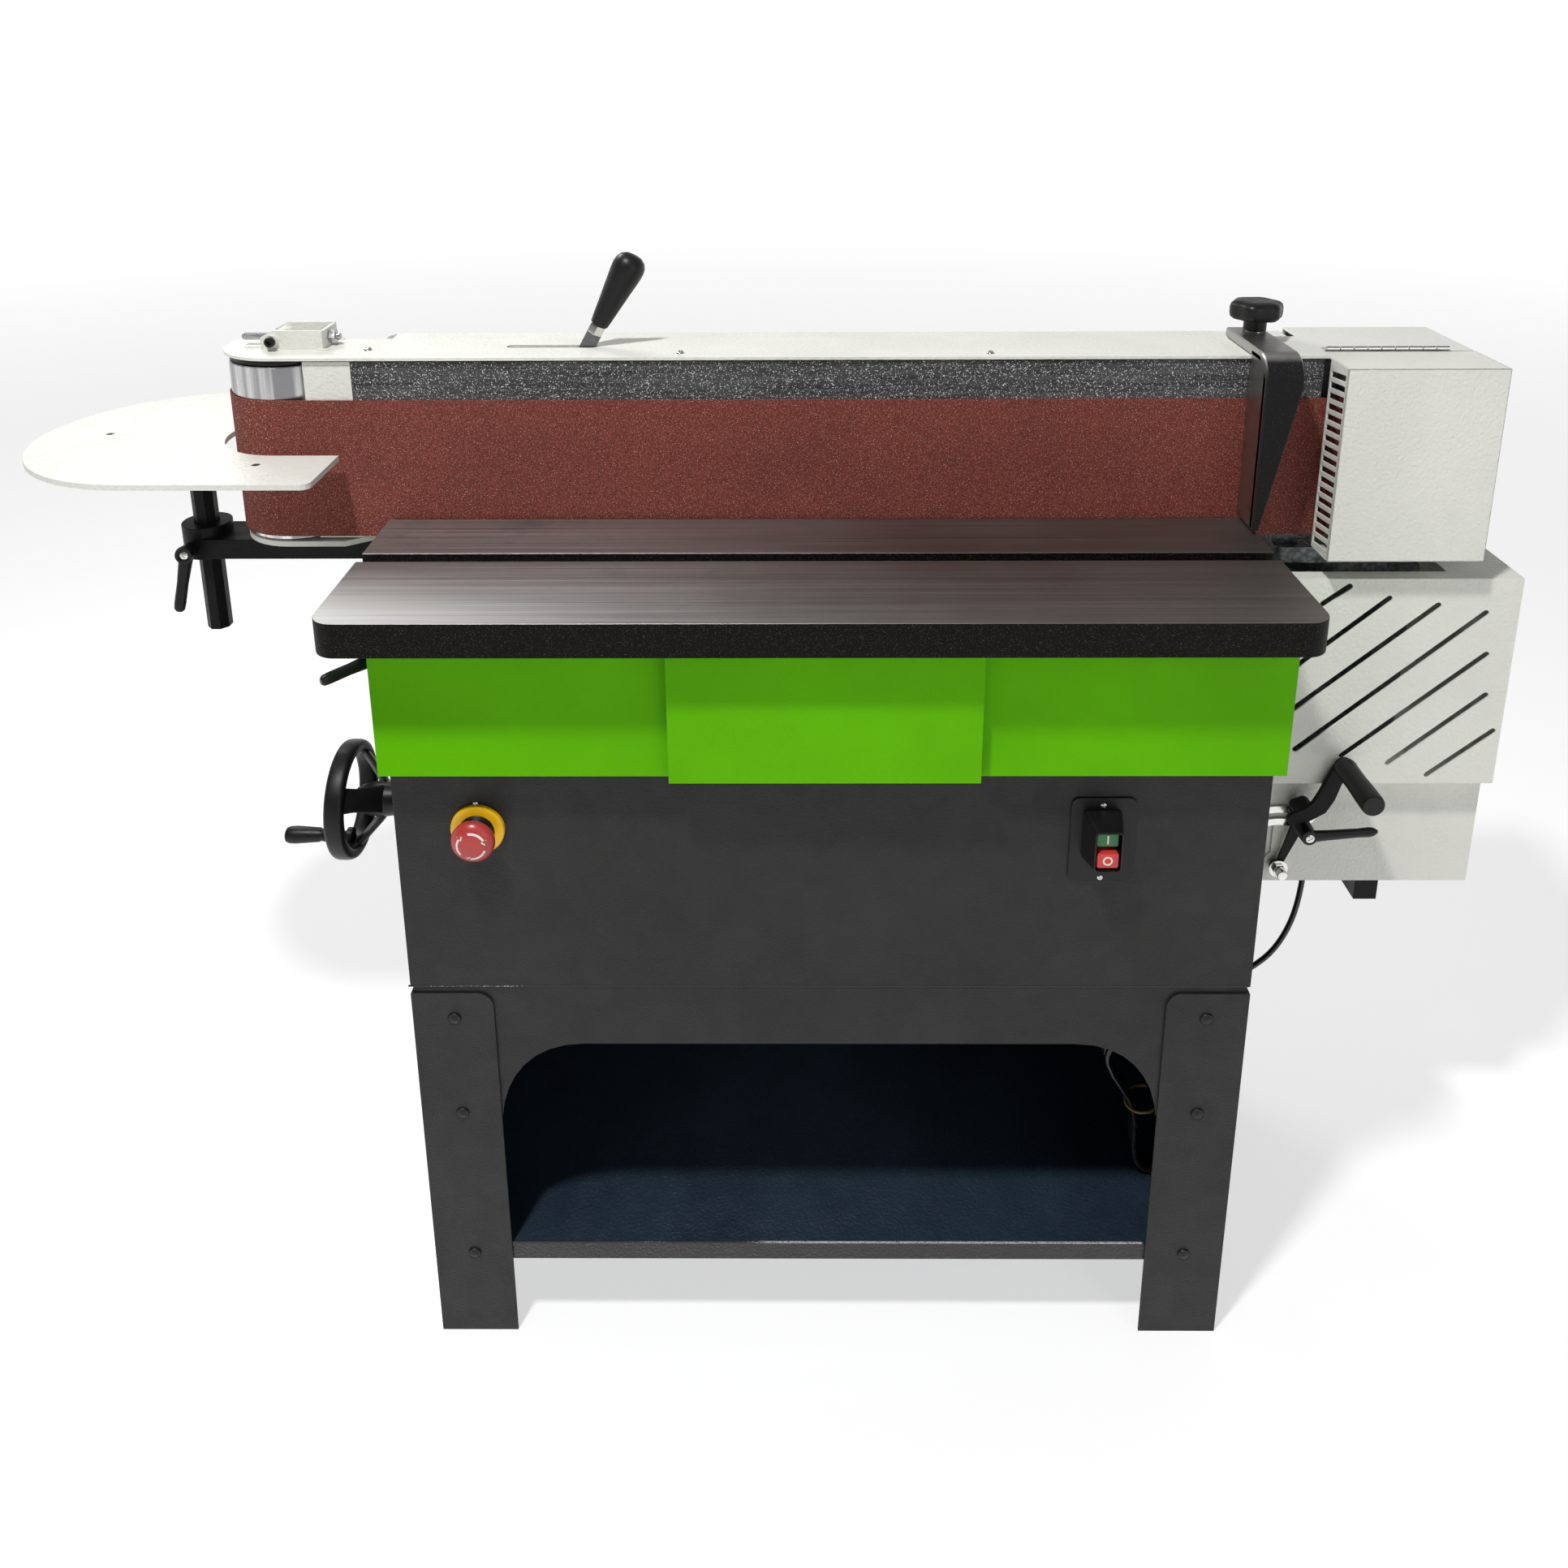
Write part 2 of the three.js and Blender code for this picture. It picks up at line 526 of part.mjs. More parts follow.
function driveTrain() {
  const axis = (z) => [DRIVE_X, AXIS_Y, z];
  add("motor", bar(axis(600), axis(800), 75, 75, 32).add(bar(axis(799), axis(812), 80, 80, 32)), HAMMER);

  // Cast arm that carries the motor and the drive drum's bearings below the head.
  const arm = roundRect(500, 680, AXIS_Y - 57, AXIS_Y + 57, [10, 40, 40, 10]);
  const bracket = join(
    plate(arm, "z", 828, 846, 6),
    box(500, BEAM.right, BEAM.front + 6, BEAM.back - 6, 845, BEAM.bottom - GAP),
    bar(axis(812 + GAP), axis(829), 60, 60, 32),
  );
  add("motor_bracket", bracket.subtract(bar(axis(800), axis(850), 16)), HAMMER);

  // Oscillation drive: an eccentric cam turns in the window of a yoke that hangs from the motor.
  const front = AXIS_Y - 7.7;
  const cam = join(
    bar([DRIVE_X + 3, front + 1, CAM_Z], [DRIVE_X + 3, front + 14, CAM_Z], 12),
    bar([DRIVE_X, front + 13, CAM_Z], [DRIVE_X, 344.7, CAM_Z], 5, 5, 16),
  );
  add("oscillator_cam", cam, STEEL);
  const yoke = cut(
    box(DRIVE_X - 24, DRIVE_X + 24, front, front + 15, 548, 600 - GAP),
    box(DRIVE_X - 19, DRIVE_X + 19, front - 1, front + 16, CAM_Z - 19, CAM_Z + 19),
  );
  add("cam_yoke", yoke, STEEL);
  const gearbox = box(560, 664, 345, COVER.back - SHEET - GAP, 470, 592).add(box(662, 690, 320, 380, 356, 480));
  add("oscillator_gearbox", gearbox, BLACK);
}

// ---------- stroke setting on the motor cover ----------
function strokeControl() {
  const { x, z, lock, elbow, end } = STROKE;
  const sector = (r0, r1, a0, a1) => {
    const s = new THREE.Shape();
    s.absarc(x, z, r1, a0, a1);
    s.absarc(x, z, r0, a1, a0, true);
    return s;
  };
  const back = COVER.lower - GAP;
  const quadrant = join(
    plate(sector(50, 74, 0.96, 2.36), "y", back - 3, back, 10),
    plate(outline([[x - 6, z], [x + 6, z], [x + 6, z + 55], [x - 6, z + 55]]), "y", back - 3, back),
    bar([x, 222, z], [x, back, z], 6, 6, 18),
    bar([x, back - 3, z], [x, back, z], 14),
  );
  add("quadrant_plate", quadrant.subtract(plate(sector(58, 66, 1.13, 2.22), "y", back - 4, back + 1, 10)), STEEL);

  // The arm swings on the stud and steps forwards to clear the cover's upper front.
  const arm = join(
    plate(oblong(x, z, ...lock, 11), "y", 236, 242, 6),
    plate(oblong(...lock, ...elbow, 11), "y", 236, 242, 6),
    plate(oblong(elbow[0] - 3, elbow[1], elbow[0] + 5, elbow[1], 8), "y", 218, 242, 6),
    plate(oblong(...elbow, ...end, 11), "y", 218, 224, 6),
    bar([end[0], 156, end[1]], [end[0], 222, end[1]], 5, 5, 14),
  );
  const bores = [
    bar([x, 230, z], [x, 245, z], 6.4, 6.4, 18),
    bar([lock[0], 230, lock[1]], [lock[0], 245, lock[1]], 4.2, 4.2, 14),
  ];
  add("stroke_arm", cut(arm, ...bores), BLACK);
  const grip = bar([end[0], 143, end[1]], [end[0], 217.7, end[1]], 12.5, 12, 24);
  add("stroke_grip", grip.subtract(bar([end[0], 140, end[1]], [end[0], 230, end[1]], 5.4, 5.4, 14)), BLACK);
  const lever = join(
    bar([lock[0], 208, lock[1]], [lock[0], 236 - GAP, lock[1]], 9, 10, 18),
    bar([lock[0], 230, lock[1]], [lock[0], back - 0.5, lock[1]], 3.8, 3.8, 14),
    plate(oblong(...lock, 621, 526, 6), "y", 208, 216, 6),
  );
  add("stroke_lock_lever", lever, BLACK);
}

// ---------- end table ----------
function octagon(flats) {
  const r = flats / 2 / Math.cos(Math.PI / 8);
  const corner = (i) => [END.postX + r * Math.cos(((i + 0.5) * Math.PI) / 4), AXIS_Y + r * Math.sin(((i + 0.5) * Math.PI) / 4)];
  return outline(Array.from({ length: 8 }, (_, i) => corner(i)));
}

function endTable() {
  const { x, radius, top, thickness, tip, hollow, postX, flats } = END;
  const s = new THREE.Shape();
  s.absarc(x, AXIS_Y, radius, Math.PI / 2, Math.PI * 1.5);
  s.absarc(tip - 10, AXIS_Y - radius + 10, 10, -Math.PI / 2, 0);
  s.lineTo(tip, AXIS_Y - hollow);
  s.absarc(IDLER_X, AXIS_Y, hollow, Math.PI * 1.5, Math.PI / 2, true);
  s.lineTo(tip, AXIS_Y + hollow);
  s.absarc(tip - 10, AXIS_Y + radius - 10, 10, 0, Math.PI / 2);
  const holes = [[-782, AXIS_Y], [-578, 214], [-578, 422]];
  const under = top - thickness;
  const drills = holes.map(([hx, hy]) => bar([hx, hy, under - 1], [hx, hy, top + 1], 4.5, 4.5, 14));
  add("end_table_plate", cut(plate(s, "z", under, top, 14), ...drills), WHITE);
  const flange = bar([postX, AXIS_Y, under - GAP - 8], [postX, AXIS_Y, under - GAP], 24);
  add("end_table_post", plate(octagon(flats), "z", 728, under - GAP - 1).add(flange), BLACK);

  // Cast arm from the cabinet's deck out to the split hub that grips the post.
  const foot = BODY.top + 3 + 2 * GAP;
  const bracket = join(
    bar([postX, AXIS_Y, 820], [postX, AXIS_Y, 857], 27),
    box(postX, -380, 290, 347, 822, 845),
    box(-440, -380, 290, 347, foot, 845),
    box(-410, -345, 278, 360, foot, foot + 10),
  );
  add("end_bracket", bracket.subtract(plate(octagon(flats + 0.8), "z", 810, 870)), BLACK);
  const y = 290;
  const lever = join(
    bar([-695, y - 20, 834], [-695, y, 834], 8, 10, 18),
    bar([-695, y - 14, 830], [-707, 268, 768], 6.5, 5, 12),
  );
  add("end_lock_lever", lever, BLACK);
}

// ---------- work stop ----------
function workStop() {
  const { left, studX, knob } = STOP;
  const z = DECK.bottom + DECK.thickness + GAP;
  const face = outline([[left, 889.5], [left + 7, 889.5], [left + 38, 1040], [left + 38, 1062], [left + 28, z + 11], [left, z + 11]]);
  const body = join(
    plate(face, "y", 203, 213),
    box(left, left + 8, 203, BELT.front - 2, 889.5, z + 11),
    box(left - 4, left + 38, 213 - 1, 335, z, z + 11),
  );
  add("work_stop", body.subtract(bar([studX, AXIS_Y, z - 1], [studX, AXIS_Y, z + 12], 5.4, 5.4, 16)), CAST);
  const at = (height, dx = 0, dy = 0) => [studX + dx, AXIS_Y + dy, height];
  const lobes = Array.from({ length: 6 }, (_, i) => {
    const a = (i * Math.PI) / 3;
    const [dx, dy] = [20 * Math.cos(a), 20 * Math.sin(a)];
    return bar(at(knob - 9, dx, dy), at(knob + 9, dx, dy), 9, 8, 12);
  });
  const parts = [
    bar(at(1053), at(knob), 5, 5, 16),
    bar(at(1053), at(DECK.bottom - GAP), 9, 9, 6),
    bar(at(z + 11 + GAP), at(knob - 5), 11, 12),
    bar(at(knob - 9), at(knob + 11), 22, 19),
    ...lobes,
  ];
  add("stop_knob", join(...parts), BLACK);
}

// ---------- controls ----------
function controls() {
  const back = BODY.front - GAP;
  const { x, z } = ESTOP;
  const base = join(
    bar([x, 52, z], [x, back, z], 26.5, 26.5, 32),
    bar([x, 47, z], [x, 53, z], 14, 17),
    bar([x, back - 1, z], [x, 90, z], 11),
  );
  add("estop_body", base.subtract(bar([x, 40, z], [x, 100, z], 8.4, 8.4, 20)), YELLOW);
  const button = join(
    bar([x, 26, z], [x, 31, z], 17, 21.5, 28),
    bar([x, 31, z], [x, 36, z], 21.5, 21.5, 28),
    bar([x, 36, z], [x, 42, z], 21.5, 12, 28),
    bar([x, 41, z], [x, 80, z], 8, 8, 20),
  );
  add("estop_button", button, RED);

  const { left, right, bottom, top } = SWITCH;
  const shroud = cut(box(258, 295, 24, 57, 606, 659), box(260.5, 292.5, 23, 53, 608.5, 656.5));
  const pod = join(
    plate(roundRect(left, right, bottom, top, even(8)), "y", 56, back, 4),
    shroud,
    box(263, 290, 56, 90, 601, 659),
  );
  const well = (z0, z1) => box(270, 283, 52, 95, z0, z1);
  add("switch_body", cut(pod, well(637, 649), well(615, 627)), BLACK);
  const key = (front, z0, z1) => join(box(266, 287, front, front + 14, z0, z1), box(271, 282, front + 13, 80, z0 + 4.5, z1 - 4.5));
  add("start_button", key(30, 636, 651), START_GREEN);
  add("stop_button", key(26, 615, 631), RED);
}

// ---------- cords ----------
function cords() {
  // Motor cable: from the oscillation drive's sump to the stand's right-hand side.
  const cable = [
    [612, 360, 469.7],
    [612, 358, 440],
    [611, 350, 400],
    [606, 341, 360],
    [598, 334, 325],
    [586, 330, 295],
    [570, 328, 270],
    [548, 327, 250],
    [522, 326, 234],
    [495, 325, 224],
    [470, 325, 219],
    [436.7, 325, 217],
  ];
  add("motor_cable", tube(cable, 3.5, 36), RUBBER);

  // Mains lead: down from the cabinet's gland into a hank that stands on the shelf, with the plug
  // strapped to the hank's front.
  const lead = [
    [352, 215, 451.7],
    [352, 215, 425],
    [352, 213, 402],
    [352.5, 207, 382],
    [354, 197, 360],
    [357, 186, 340],
    [360.5, 176, 323],
    [362.2, 172, 316.6],
  ];
  add("mains_lead", tube(lead, 3.75, 20), RUBBER);
  add("mains_hank", plate(oblong(390, 151.8, 350, 285, 30), "y", 137, 171, 8), RUBBER);
  const plug = join(
    plate(roundRect(391, 425, 160, 208, even(6)), "y", 108, 135, 4),
    bar([408.5, 128, 238], [408, 122, 206], 5, 8, 14),
    box(406, 410, 116, 124, 142, 161),
    box(396, 402, 116, 119, 143, 161),
    box(414, 420, 116, 119, 143, 161),
  );
  add("mains_plug", plug, BLACK);
}

for (const back of [false, true]) {
  for (const right of [false, true]) leg(`leg_${back ? "rear" : "front"}_${right ? "right" : "left"}`, right, back);
}
frontPanel();
standPanels();
cabinet();
workTable();
apron();
saddle();
liftDrive();
heightLock();
headBeam();
topPlate();
drums();
carriage();
tension();
rearGuard();
drumGuard();
motorCover();
driveTrain();
strokeControl();
endTable();
workStop();
controls();
cords();

export default machine;
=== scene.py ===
import math

import bmesh
import bpy
from mathutils import Matrix, Vector


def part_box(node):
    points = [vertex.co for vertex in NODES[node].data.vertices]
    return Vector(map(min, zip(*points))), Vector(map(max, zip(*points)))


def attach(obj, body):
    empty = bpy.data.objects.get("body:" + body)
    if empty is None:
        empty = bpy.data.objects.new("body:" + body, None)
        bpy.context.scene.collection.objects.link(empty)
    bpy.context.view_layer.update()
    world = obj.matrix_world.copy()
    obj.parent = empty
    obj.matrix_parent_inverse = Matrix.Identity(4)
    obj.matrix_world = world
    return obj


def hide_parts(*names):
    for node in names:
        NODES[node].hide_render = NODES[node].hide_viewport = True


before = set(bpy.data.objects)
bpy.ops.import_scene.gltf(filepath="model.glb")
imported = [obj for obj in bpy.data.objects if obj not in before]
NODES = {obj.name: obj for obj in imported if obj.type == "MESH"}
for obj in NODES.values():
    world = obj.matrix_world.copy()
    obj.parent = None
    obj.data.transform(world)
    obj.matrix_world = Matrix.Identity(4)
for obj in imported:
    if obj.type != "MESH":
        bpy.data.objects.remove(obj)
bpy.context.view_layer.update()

MM = 0.001

# The machine's own zero: the middle of the work table's front edge, at floor level. Lengths below
# are in millimetres from there, X to the drive drum, Y to the back and Z up.
TABLE_LOW, TABLE_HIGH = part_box("main_table")
ZERO = Vector(((TABLE_LOW.x + TABLE_HIGH.x) / 2, TABLE_LOW.y, 0.0))


def at(x, y, z):
    """A point of the machine, given in millimetres, in the row frame in metres."""
    return ZERO + Vector((x, y, z)) * MM


def span(node):
    """(x0, x1, y0, y1, z0, z1) of a CAD node in machine millimetres."""
    low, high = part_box(node)
    low, high = (low - ZERO) / MM, (high - ZERO) / MM
    return low.x, high.x, low.y, high.y, low.z, high.z


# ---------------------------------------------------------------- camera
def camera():
    data = bpy.data.cameras.new("camera")
    data.sensor_width = 36.0
    data.lens = 29.70
    data.shift_x = -0.0016
    data.shift_y = -0.2598
    data.clip_end = 60.0
    yaw, pitch, roll = math.radians(-0.41), math.radians(15.42), math.radians(-0.26)
    ahead = Vector((math.sin(yaw) * math.cos(pitch), math.cos(yaw) * math.cos(pitch), -math.sin(pitch)))
    right = Vector((math.cos(yaw), -math.sin(yaw), 0.0))
    up = right.cross(ahead)
    right, up = right * math.cos(roll) + up * math.sin(roll), up * math.cos(roll) - right * math.sin(roll)
    turn = Matrix((right, up, -ahead)).transposed()
    obj = bpy.data.objects.new("camera", data)
    obj.matrix_world = Matrix.Translation(at(-21, -1045, 1400)) @ turn.to_4x4()
    bpy.context.scene.collection.objects.link(obj)
    bpy.context.scene.camera = obj


camera()


# ---------------------------------------------------------------- materials
class Tree:
    """A node tree, with short calls for the nodes that materials and the sky share."""

    def __init__(self, tree):
        self.tree = tree

    def node(self, kind, settings=None, **inputs):
        n = self.tree.nodes.new(kind)
        for key, value in (settings or {}).items():
            setattr(n, key, value)
        for key, value in inputs.items():
            self.put(n.inputs[key.replace("_", " ")], value)
        return n

    def put(self, socket, value):
        if isinstance(value, bpy.types.NodeSocket):
            self.tree.links.new(value, socket)
        else:
            socket.default_value = value

    def split(self, vector):
        return self.node("ShaderNodeSeparateXYZ", Vector=vector).outputs

    def band(self, value, low, high, out_low=0.0, out_high=1.0, kind="SMOOTHSTEP"):
        n = self.node("ShaderNodeMapRange", {"interpolation_type": kind}, Value=value)
        for key, number in (("From Min", low), ("From Max", high), ("To Min", out_low), ("To Max", out_high)):
            n.inputs[key].default_value = number
        return n.outputs["Result"]

    def math(self, operation, a, b):
        n = self.node("ShaderNodeMath", {"operation": operation})
        self.put(n.inputs[0], a)
        self.put(n.inputs[1], b)
        return n.outputs[0]


class Look(Tree):
    """A material's node tree, with short calls for the nodes the looks below use."""

    def __init__(self, name, roughness, metallic=0.0, **sockets):
        self.material = bpy.data.materials.new(name)
        self.material.use_nodes = True
        super().__init__(self.material.node_tree)
        self.shader = self.tree.nodes["Principled BSDF"]
        for socket, value in {"Roughness": roughness, "Metallic": metallic, **sockets}.items():
            self.shader.inputs[socket.replace("_", " ")].default_value = value
        self.place = self.node("ShaderNodeTexCoord").outputs["Object"]

    def stretched(self, x, y, z):
        return self.node("ShaderNodeMapping", Vector=self.place, Scale=(x, y, z)).outputs["Vector"]

    def noise(self, scale, detail=2.0, roughness=0.5, vector=None):
        where = vector or self.place
        n = self.node("ShaderNodeTexNoise", Vector=where, Scale=scale, Detail=detail, Roughness=roughness)
        return n.outputs["Fac"]

    def cells(self, scale, feature="F1"):
        n = self.node("ShaderNodeTexVoronoi", {"feature": feature}, Vector=self.place, Scale=scale)
        return n.outputs["Distance"]

    def mix(self, fac, a, b):
        n = self.node("ShaderNodeMix", {"data_type": "RGBA"})
        self.put(n.inputs[0], fac)
        self.put(n.inputs[6], a if isinstance(a, bpy.types.NodeSocket) else (*a, 1.0))
        self.put(n.inputs[7], b if isinstance(b, bpy.types.NodeSocket) else (*b, 1.0))
        return n.outputs[2]

    def bump(self, height, distance, strength, under=None):
        n = self.node("ShaderNodeBump", Height=height)
        n.inputs["Distance"].default_value = distance
        n.inputs["Strength"].default_value = strength
        if under is not None:
            self.put(n.inputs["Normal"], under)
        return n.outputs["Normal"]

    def facing(self):
        """(x, y, z) of the surface's own direction in the piece's frame."""
        return self.split(self.node("ShaderNodeTexCoord").outputs["Normal"])

    def done(self, color, roughness=None, normal=None, metallic=None):
        values = {"Base Color": color, "Roughness": roughness, "Normal": normal, "Metallic": metallic}
        for socket, value in values.items():
            if value is not None:
                self.put(self.shader.inputs[socket], (*value, 1.0) if isinstance(value, tuple) else value)
        return self.material


def powder_coat(name, color, grain, depth, roughness, mottle, front=None, **sockets):
    """Powder coat: soft dimples like orange peel, a fine grain on them, a little dust and unevenness.

    Faces that look to the front take the colour front, where one is given: painted shade, darker than the lit
    top faces.
    """
    look = Look(name, roughness, **sockets)
    cloud = look.noise(6.0, 4.0, 0.6)
    dust = look.band(look.noise(2600.0, 1.0), 0.66, 0.74)
    darker = tuple(c * (1.0 - mottle) for c in color)
    lighter = tuple(min(1.0, c * (1.0 + mottle)) for c in color)
    tone = look.mix(look.band(cloud, 0.35, 0.65), darker, lighter)
    if front:
        # painted shade: faces that look to the front take the darker colour front
        tone = look.mix(look.band(look.facing()["Y"], -0.6, -0.9), tone, front)
    tone = look.mix(look.math("MULTIPLY", dust, 0.10), tone, (0.8, 0.8, 0.8))
    peel = look.noise(grain, 2.0, 0.45)
    fine = look.noise(grain * 3.1, 1.0)
    rough = look.band(look.noise(40.0, 3.0), 0.3, 0.7, roughness - 0.05, roughness + 0.06)
    normal = look.bump(fine, depth * 0.3, 0.6, look.bump(peel, depth, 1.0))
    return look.done(tone, rough, normal)


def hammer_paint():
    """Grey hammer finish: shallow round cells with bright rims."""
    look = Look("grey_hammer_paint", 0.34, 0.25)
    cell = look.cells(210.0, "SMOOTH_F1")
    tone = look.mix(look.band(cell, 0.1, 0.7), (0.16, 0.18, 0.19), (0.06, 0.07, 0.075))
    return look.done(tone, None, look.bump(cell, 0.0009, 0.8))


def ground_iron():
    """Ground faces up, with grinding streaks, handling stains and a painted reflection of the belt that
    browns the right side, and black painted cast sides.
    """
    look = Look("ground_iron", 0.46, 1.0, Specular_IOR_Level=0.12)
    streaks = look.noise(1.0, 5.0, 0.62, look.stretched(2.2, 620.0, 1.0))
    broad = look.noise(1.0, 3.0, 0.6, look.stretched(1.4, 34.0, 1.0))
    stain = look.noise(5.0, 6.0, 0.62)
    # painted reflection: the top turns brown towards its right, standing in for the belt mirrored in the
    # ground iron
    painted_belt_reflection = look.band(look.split(look.place)["X"], -0.25, 0.25)
    tone = look.mix(look.band(streaks, 0.3, 0.7), (0.38, 0.38, 0.375), (0.56, 0.56, 0.55))
    tone = look.mix(look.band(stain, 0.52, 0.72, 0.0, 0.55), tone, (0.13, 0.115, 0.11))
    tone = look.mix(look.math("MULTIPLY", painted_belt_reflection, 0.78), tone, (0.185, 0.160, 0.140))
    tone = look.mix(look.band(broad, 0.45, 0.62, 0.0, 0.18), tone, (0.12, 0.12, 0.125))
    rough = look.band(look.math("ADD", streaks, look.math("MULTIPLY", stain, 0.6)), 0.5, 1.1, 0.42, 0.58)
    flat = look.bump(streaks, 0.00004, 0.5)
    pits = look.noise(520.0, 3.0, 0.65)
    speck = look.band(look.noise(1300.0, 1.0), 0.66, 0.72)
    paint = look.mix(speck, (0.0022, 0.0018, 0.0015), (0.09, 0.08, 0.07))
    cast = look.bump(pits, 0.0007, 0.9)
    up = look.band(look.facing()["Z"], 0.55, 0.75)
    side = look.math("SUBTRACT", 1.0, up)
    color = look.mix(side, tone, paint)
    rough = look.math("ADD", look.math("MULTIPLY", rough, up), look.math("MULTIPLY", side, 0.5))
    normal = look.node("ShaderNodeMix", {"data_type": "VECTOR"})
    look.put(normal.inputs[0], side)
    look.put(normal.inputs[4], flat)
    look.put(normal.inputs[5], cast)
    return look.done(color, rough, normal.outputs[1], up)


def stop_iron():
    """The stop's ground edges with black painted front: bare on its left and top, painted elsewhere."""
    look = Look("stop_iron", 0.38, 1.0, Specular_IOR_Level=0.12)
    face = look.facing()
    streaks = look.noise(1.0, 4.0, 0.6, look.stretched(30.0, 30.0, 900.0))
    bare = look.mix(streaks, (0.30, 0.29, 0.28), (0.56, 0.55, 0.53))
    blotch = look.noise(40.0, 5.0, 0.6)
    bare = look.mix(look.band(blotch, 0.5, 0.7, 0.0, 0.5), bare, (0.16, 0.14, 0.125))
    painted = look.band(face["Y"], -0.25, -0.75)
    paint = look.mix(look.band(look.noise(900.0), 0.62, 0.7), (0.010, 0.010, 0.011), (0.05, 0.05, 0.05))
    color = look.mix(painted, bare, paint)
    metal = look.math("SUBTRACT", 1.0, painted)
    rough = look.band(painted, 0.0, 1.0, 0.36, 0.62)
    return look.done(color, rough, look.bump(look.noise(420.0, 3.0), 0.0003, 0.7), metal)


def metal(name, color, roughness, stretch, streak_depth=0.00003, contrast=0.25):
    """Bare metal with machining streaks that run along the axis with the smallest stretch."""
    look = Look(name, roughness, 1.0)
    lines = look.noise(1.0, 4.0, 0.6, look.stretched(*stretch))
    dim = tuple(c * (1.0 - contrast) for c in color)
    tone = look.mix(look.band(lines, 0.3, 0.7), dim, color)
    rough = look.band(lines, 0.3, 0.7, roughness - 0.05, roughness + 0.10)
    return look.done(tone, rough, look.bump(lines, streak_depth, 0.6))


def turned_aluminium():
    """A turned drum: fine lines round it, and upright bands of painted highlight and painted reflection in
    its colour.
    """
    look = Look("turned_aluminium", 0.24, 1.0)
    lines = look.noise(1.0, 4.0, 0.6, look.stretched(2.0, 2.0, 1400.0))
    # painted highlight and painted reflection: light and dark upright bands round the drum
    bands = look.noise(1.0, 3.0, 0.55, look.stretched(62.0, 62.0, 1.2))
    tone = look.mix(look.band(bands, 0.38, 0.62), (0.30, 0.30, 0.31), (0.88, 0.88, 0.89))
    tone = look.mix(look.band(lines, 0.35, 0.75, 0.0, 0.35), tone, (0.45, 0.45, 0.46))
    rough = look.band(bands, 0.3, 0.7, 0.34, 0.18)
    return look.done(tone, rough, look.bump(lines, 0.00003, 0.6))


def abrasive():
    """Cloth belt with brown-red grit: dense grains, painted glints on their tips and faint rubbed bands."""
    look = Look("abrasive", 0.72, Specular_IOR_Level=0.25)
    grain = look.cells(1050.0)
    blot = look.noise(760.0, 2.0, 0.6)
    cloud = look.noise(9.0, 4.0, 0.55)
    band = look.noise(1.0, 3.0, 0.6, look.stretched(1.0, 1.0, 46.0))
    tone = look.mix(look.band(blot, 0.34, 0.66), (0.080, 0.0185, 0.0135), (0.270, 0.062, 0.045))
    tone = look.mix(look.band(grain, 0.0, 0.65, 0.65, 0.0), tone, (0.205, 0.058, 0.043))
    tone = look.mix(look.band(cloud, 0.4, 0.7, 0.0, 0.22), tone, (0.09, 0.024, 0.02))
    tone = look.mix(look.band(band, 0.55, 0.75, 0.0, 0.16), tone, (0.19, 0.062, 0.048))
    # painted highlight: bright specks stand in for light glinting off the grit
    painted_glint = look.band(look.noise(900.0, 1.0), 0.645, 0.71)
    tone = look.mix(painted_glint, tone, (0.80, 0.46, 0.38))
    rough = look.band(look.noise(1150.0, 1.0), 0.60, 0.74, 0.80, 0.35)
    return look.done(tone, rough, look.bump(grain, 0.0005, 0.7))


def graphite_cloth():
    look = Look("graphite_cloth", 0.55, 0.0, Specular_IOR_Level=0.35)
    run = look.noise(1.0, 4.0, 0.6, look.stretched(8.0, 8.0, 420.0))
    worn = look.noise(1.0, 3.0, 0.6, look.stretched(3.0, 1.0, 60.0))
    tone = look.mix(look.band(run, 0.3, 0.7), (0.014, 0.014, 0.015), (0.066, 0.066, 0.067))
    tone = look.mix(look.band(worn, 0.45, 0.7, 0.0, 0.5), tone, (0.10, 0.10, 0.104))
    # painted highlight: bright specks stand in for glints of light on the cloth
    painted_glint = look.band(look.noise(850.0, 1.0), 0.62, 0.70)
    tone = look.mix(painted_glint, tone, (0.75, 0.75, 0.77))
    return look.done(tone, None, look.bump(look.noise(700.0, 2.0), 0.0003, 0.7))


def plastic(name, color, roughness, grain=900.0, depth=0.00008, **sockets):
    look = Look(name, roughness, **sockets)
    soft = look.noise(60.0, 3.0)
    tone = look.mix(soft, tuple(c * 0.8 for c in color), tuple(min(1.0, c * 1.15) for c in color))
    rough = look.band(soft, 0.3, 0.7, roughness - 0.05, roughness + 0.07)
    return look.done(tone, rough, look.bump(look.noise(grain, 2.0), depth, 0.6))


def painted_edge_highlight():
    """Painted edge highlight: a dark strip with bright flecks that stand in for light caught along a sheet's
    edge.
    """
    look = Look("painted_edge_highlight", 0.4, 0.5)
    painted_fleck = look.noise(1.0, 4.0, 0.7, look.stretched(520.0, 900.0, 900.0))
    patch = look.band(look.noise(3.0, 3.0), 0.38, 0.62)
    painted_fleck = look.math("MULTIPLY", painted_fleck, patch)
    tone = look.mix(look.band(painted_fleck, 0.36, 0.52), (0.035, 0.037, 0.040), (0.50, 0.51, 0.52))
    return look.done(tone, None, look.bump(painted_fleck, 0.0003, 0.8))


WHITE = powder_coat("white_powder_coat", (0.73, 0.73, 0.675), 260.0, 0.0010, 0.40, 0.035)
ANTHRACITE = powder_coat(
    "anthracite_powder_coat", (0.0170, 0.0166, 0.0164), 420.0, 0.00050, 0.50, 0.14, Specular_IOR_Level=0.30
)
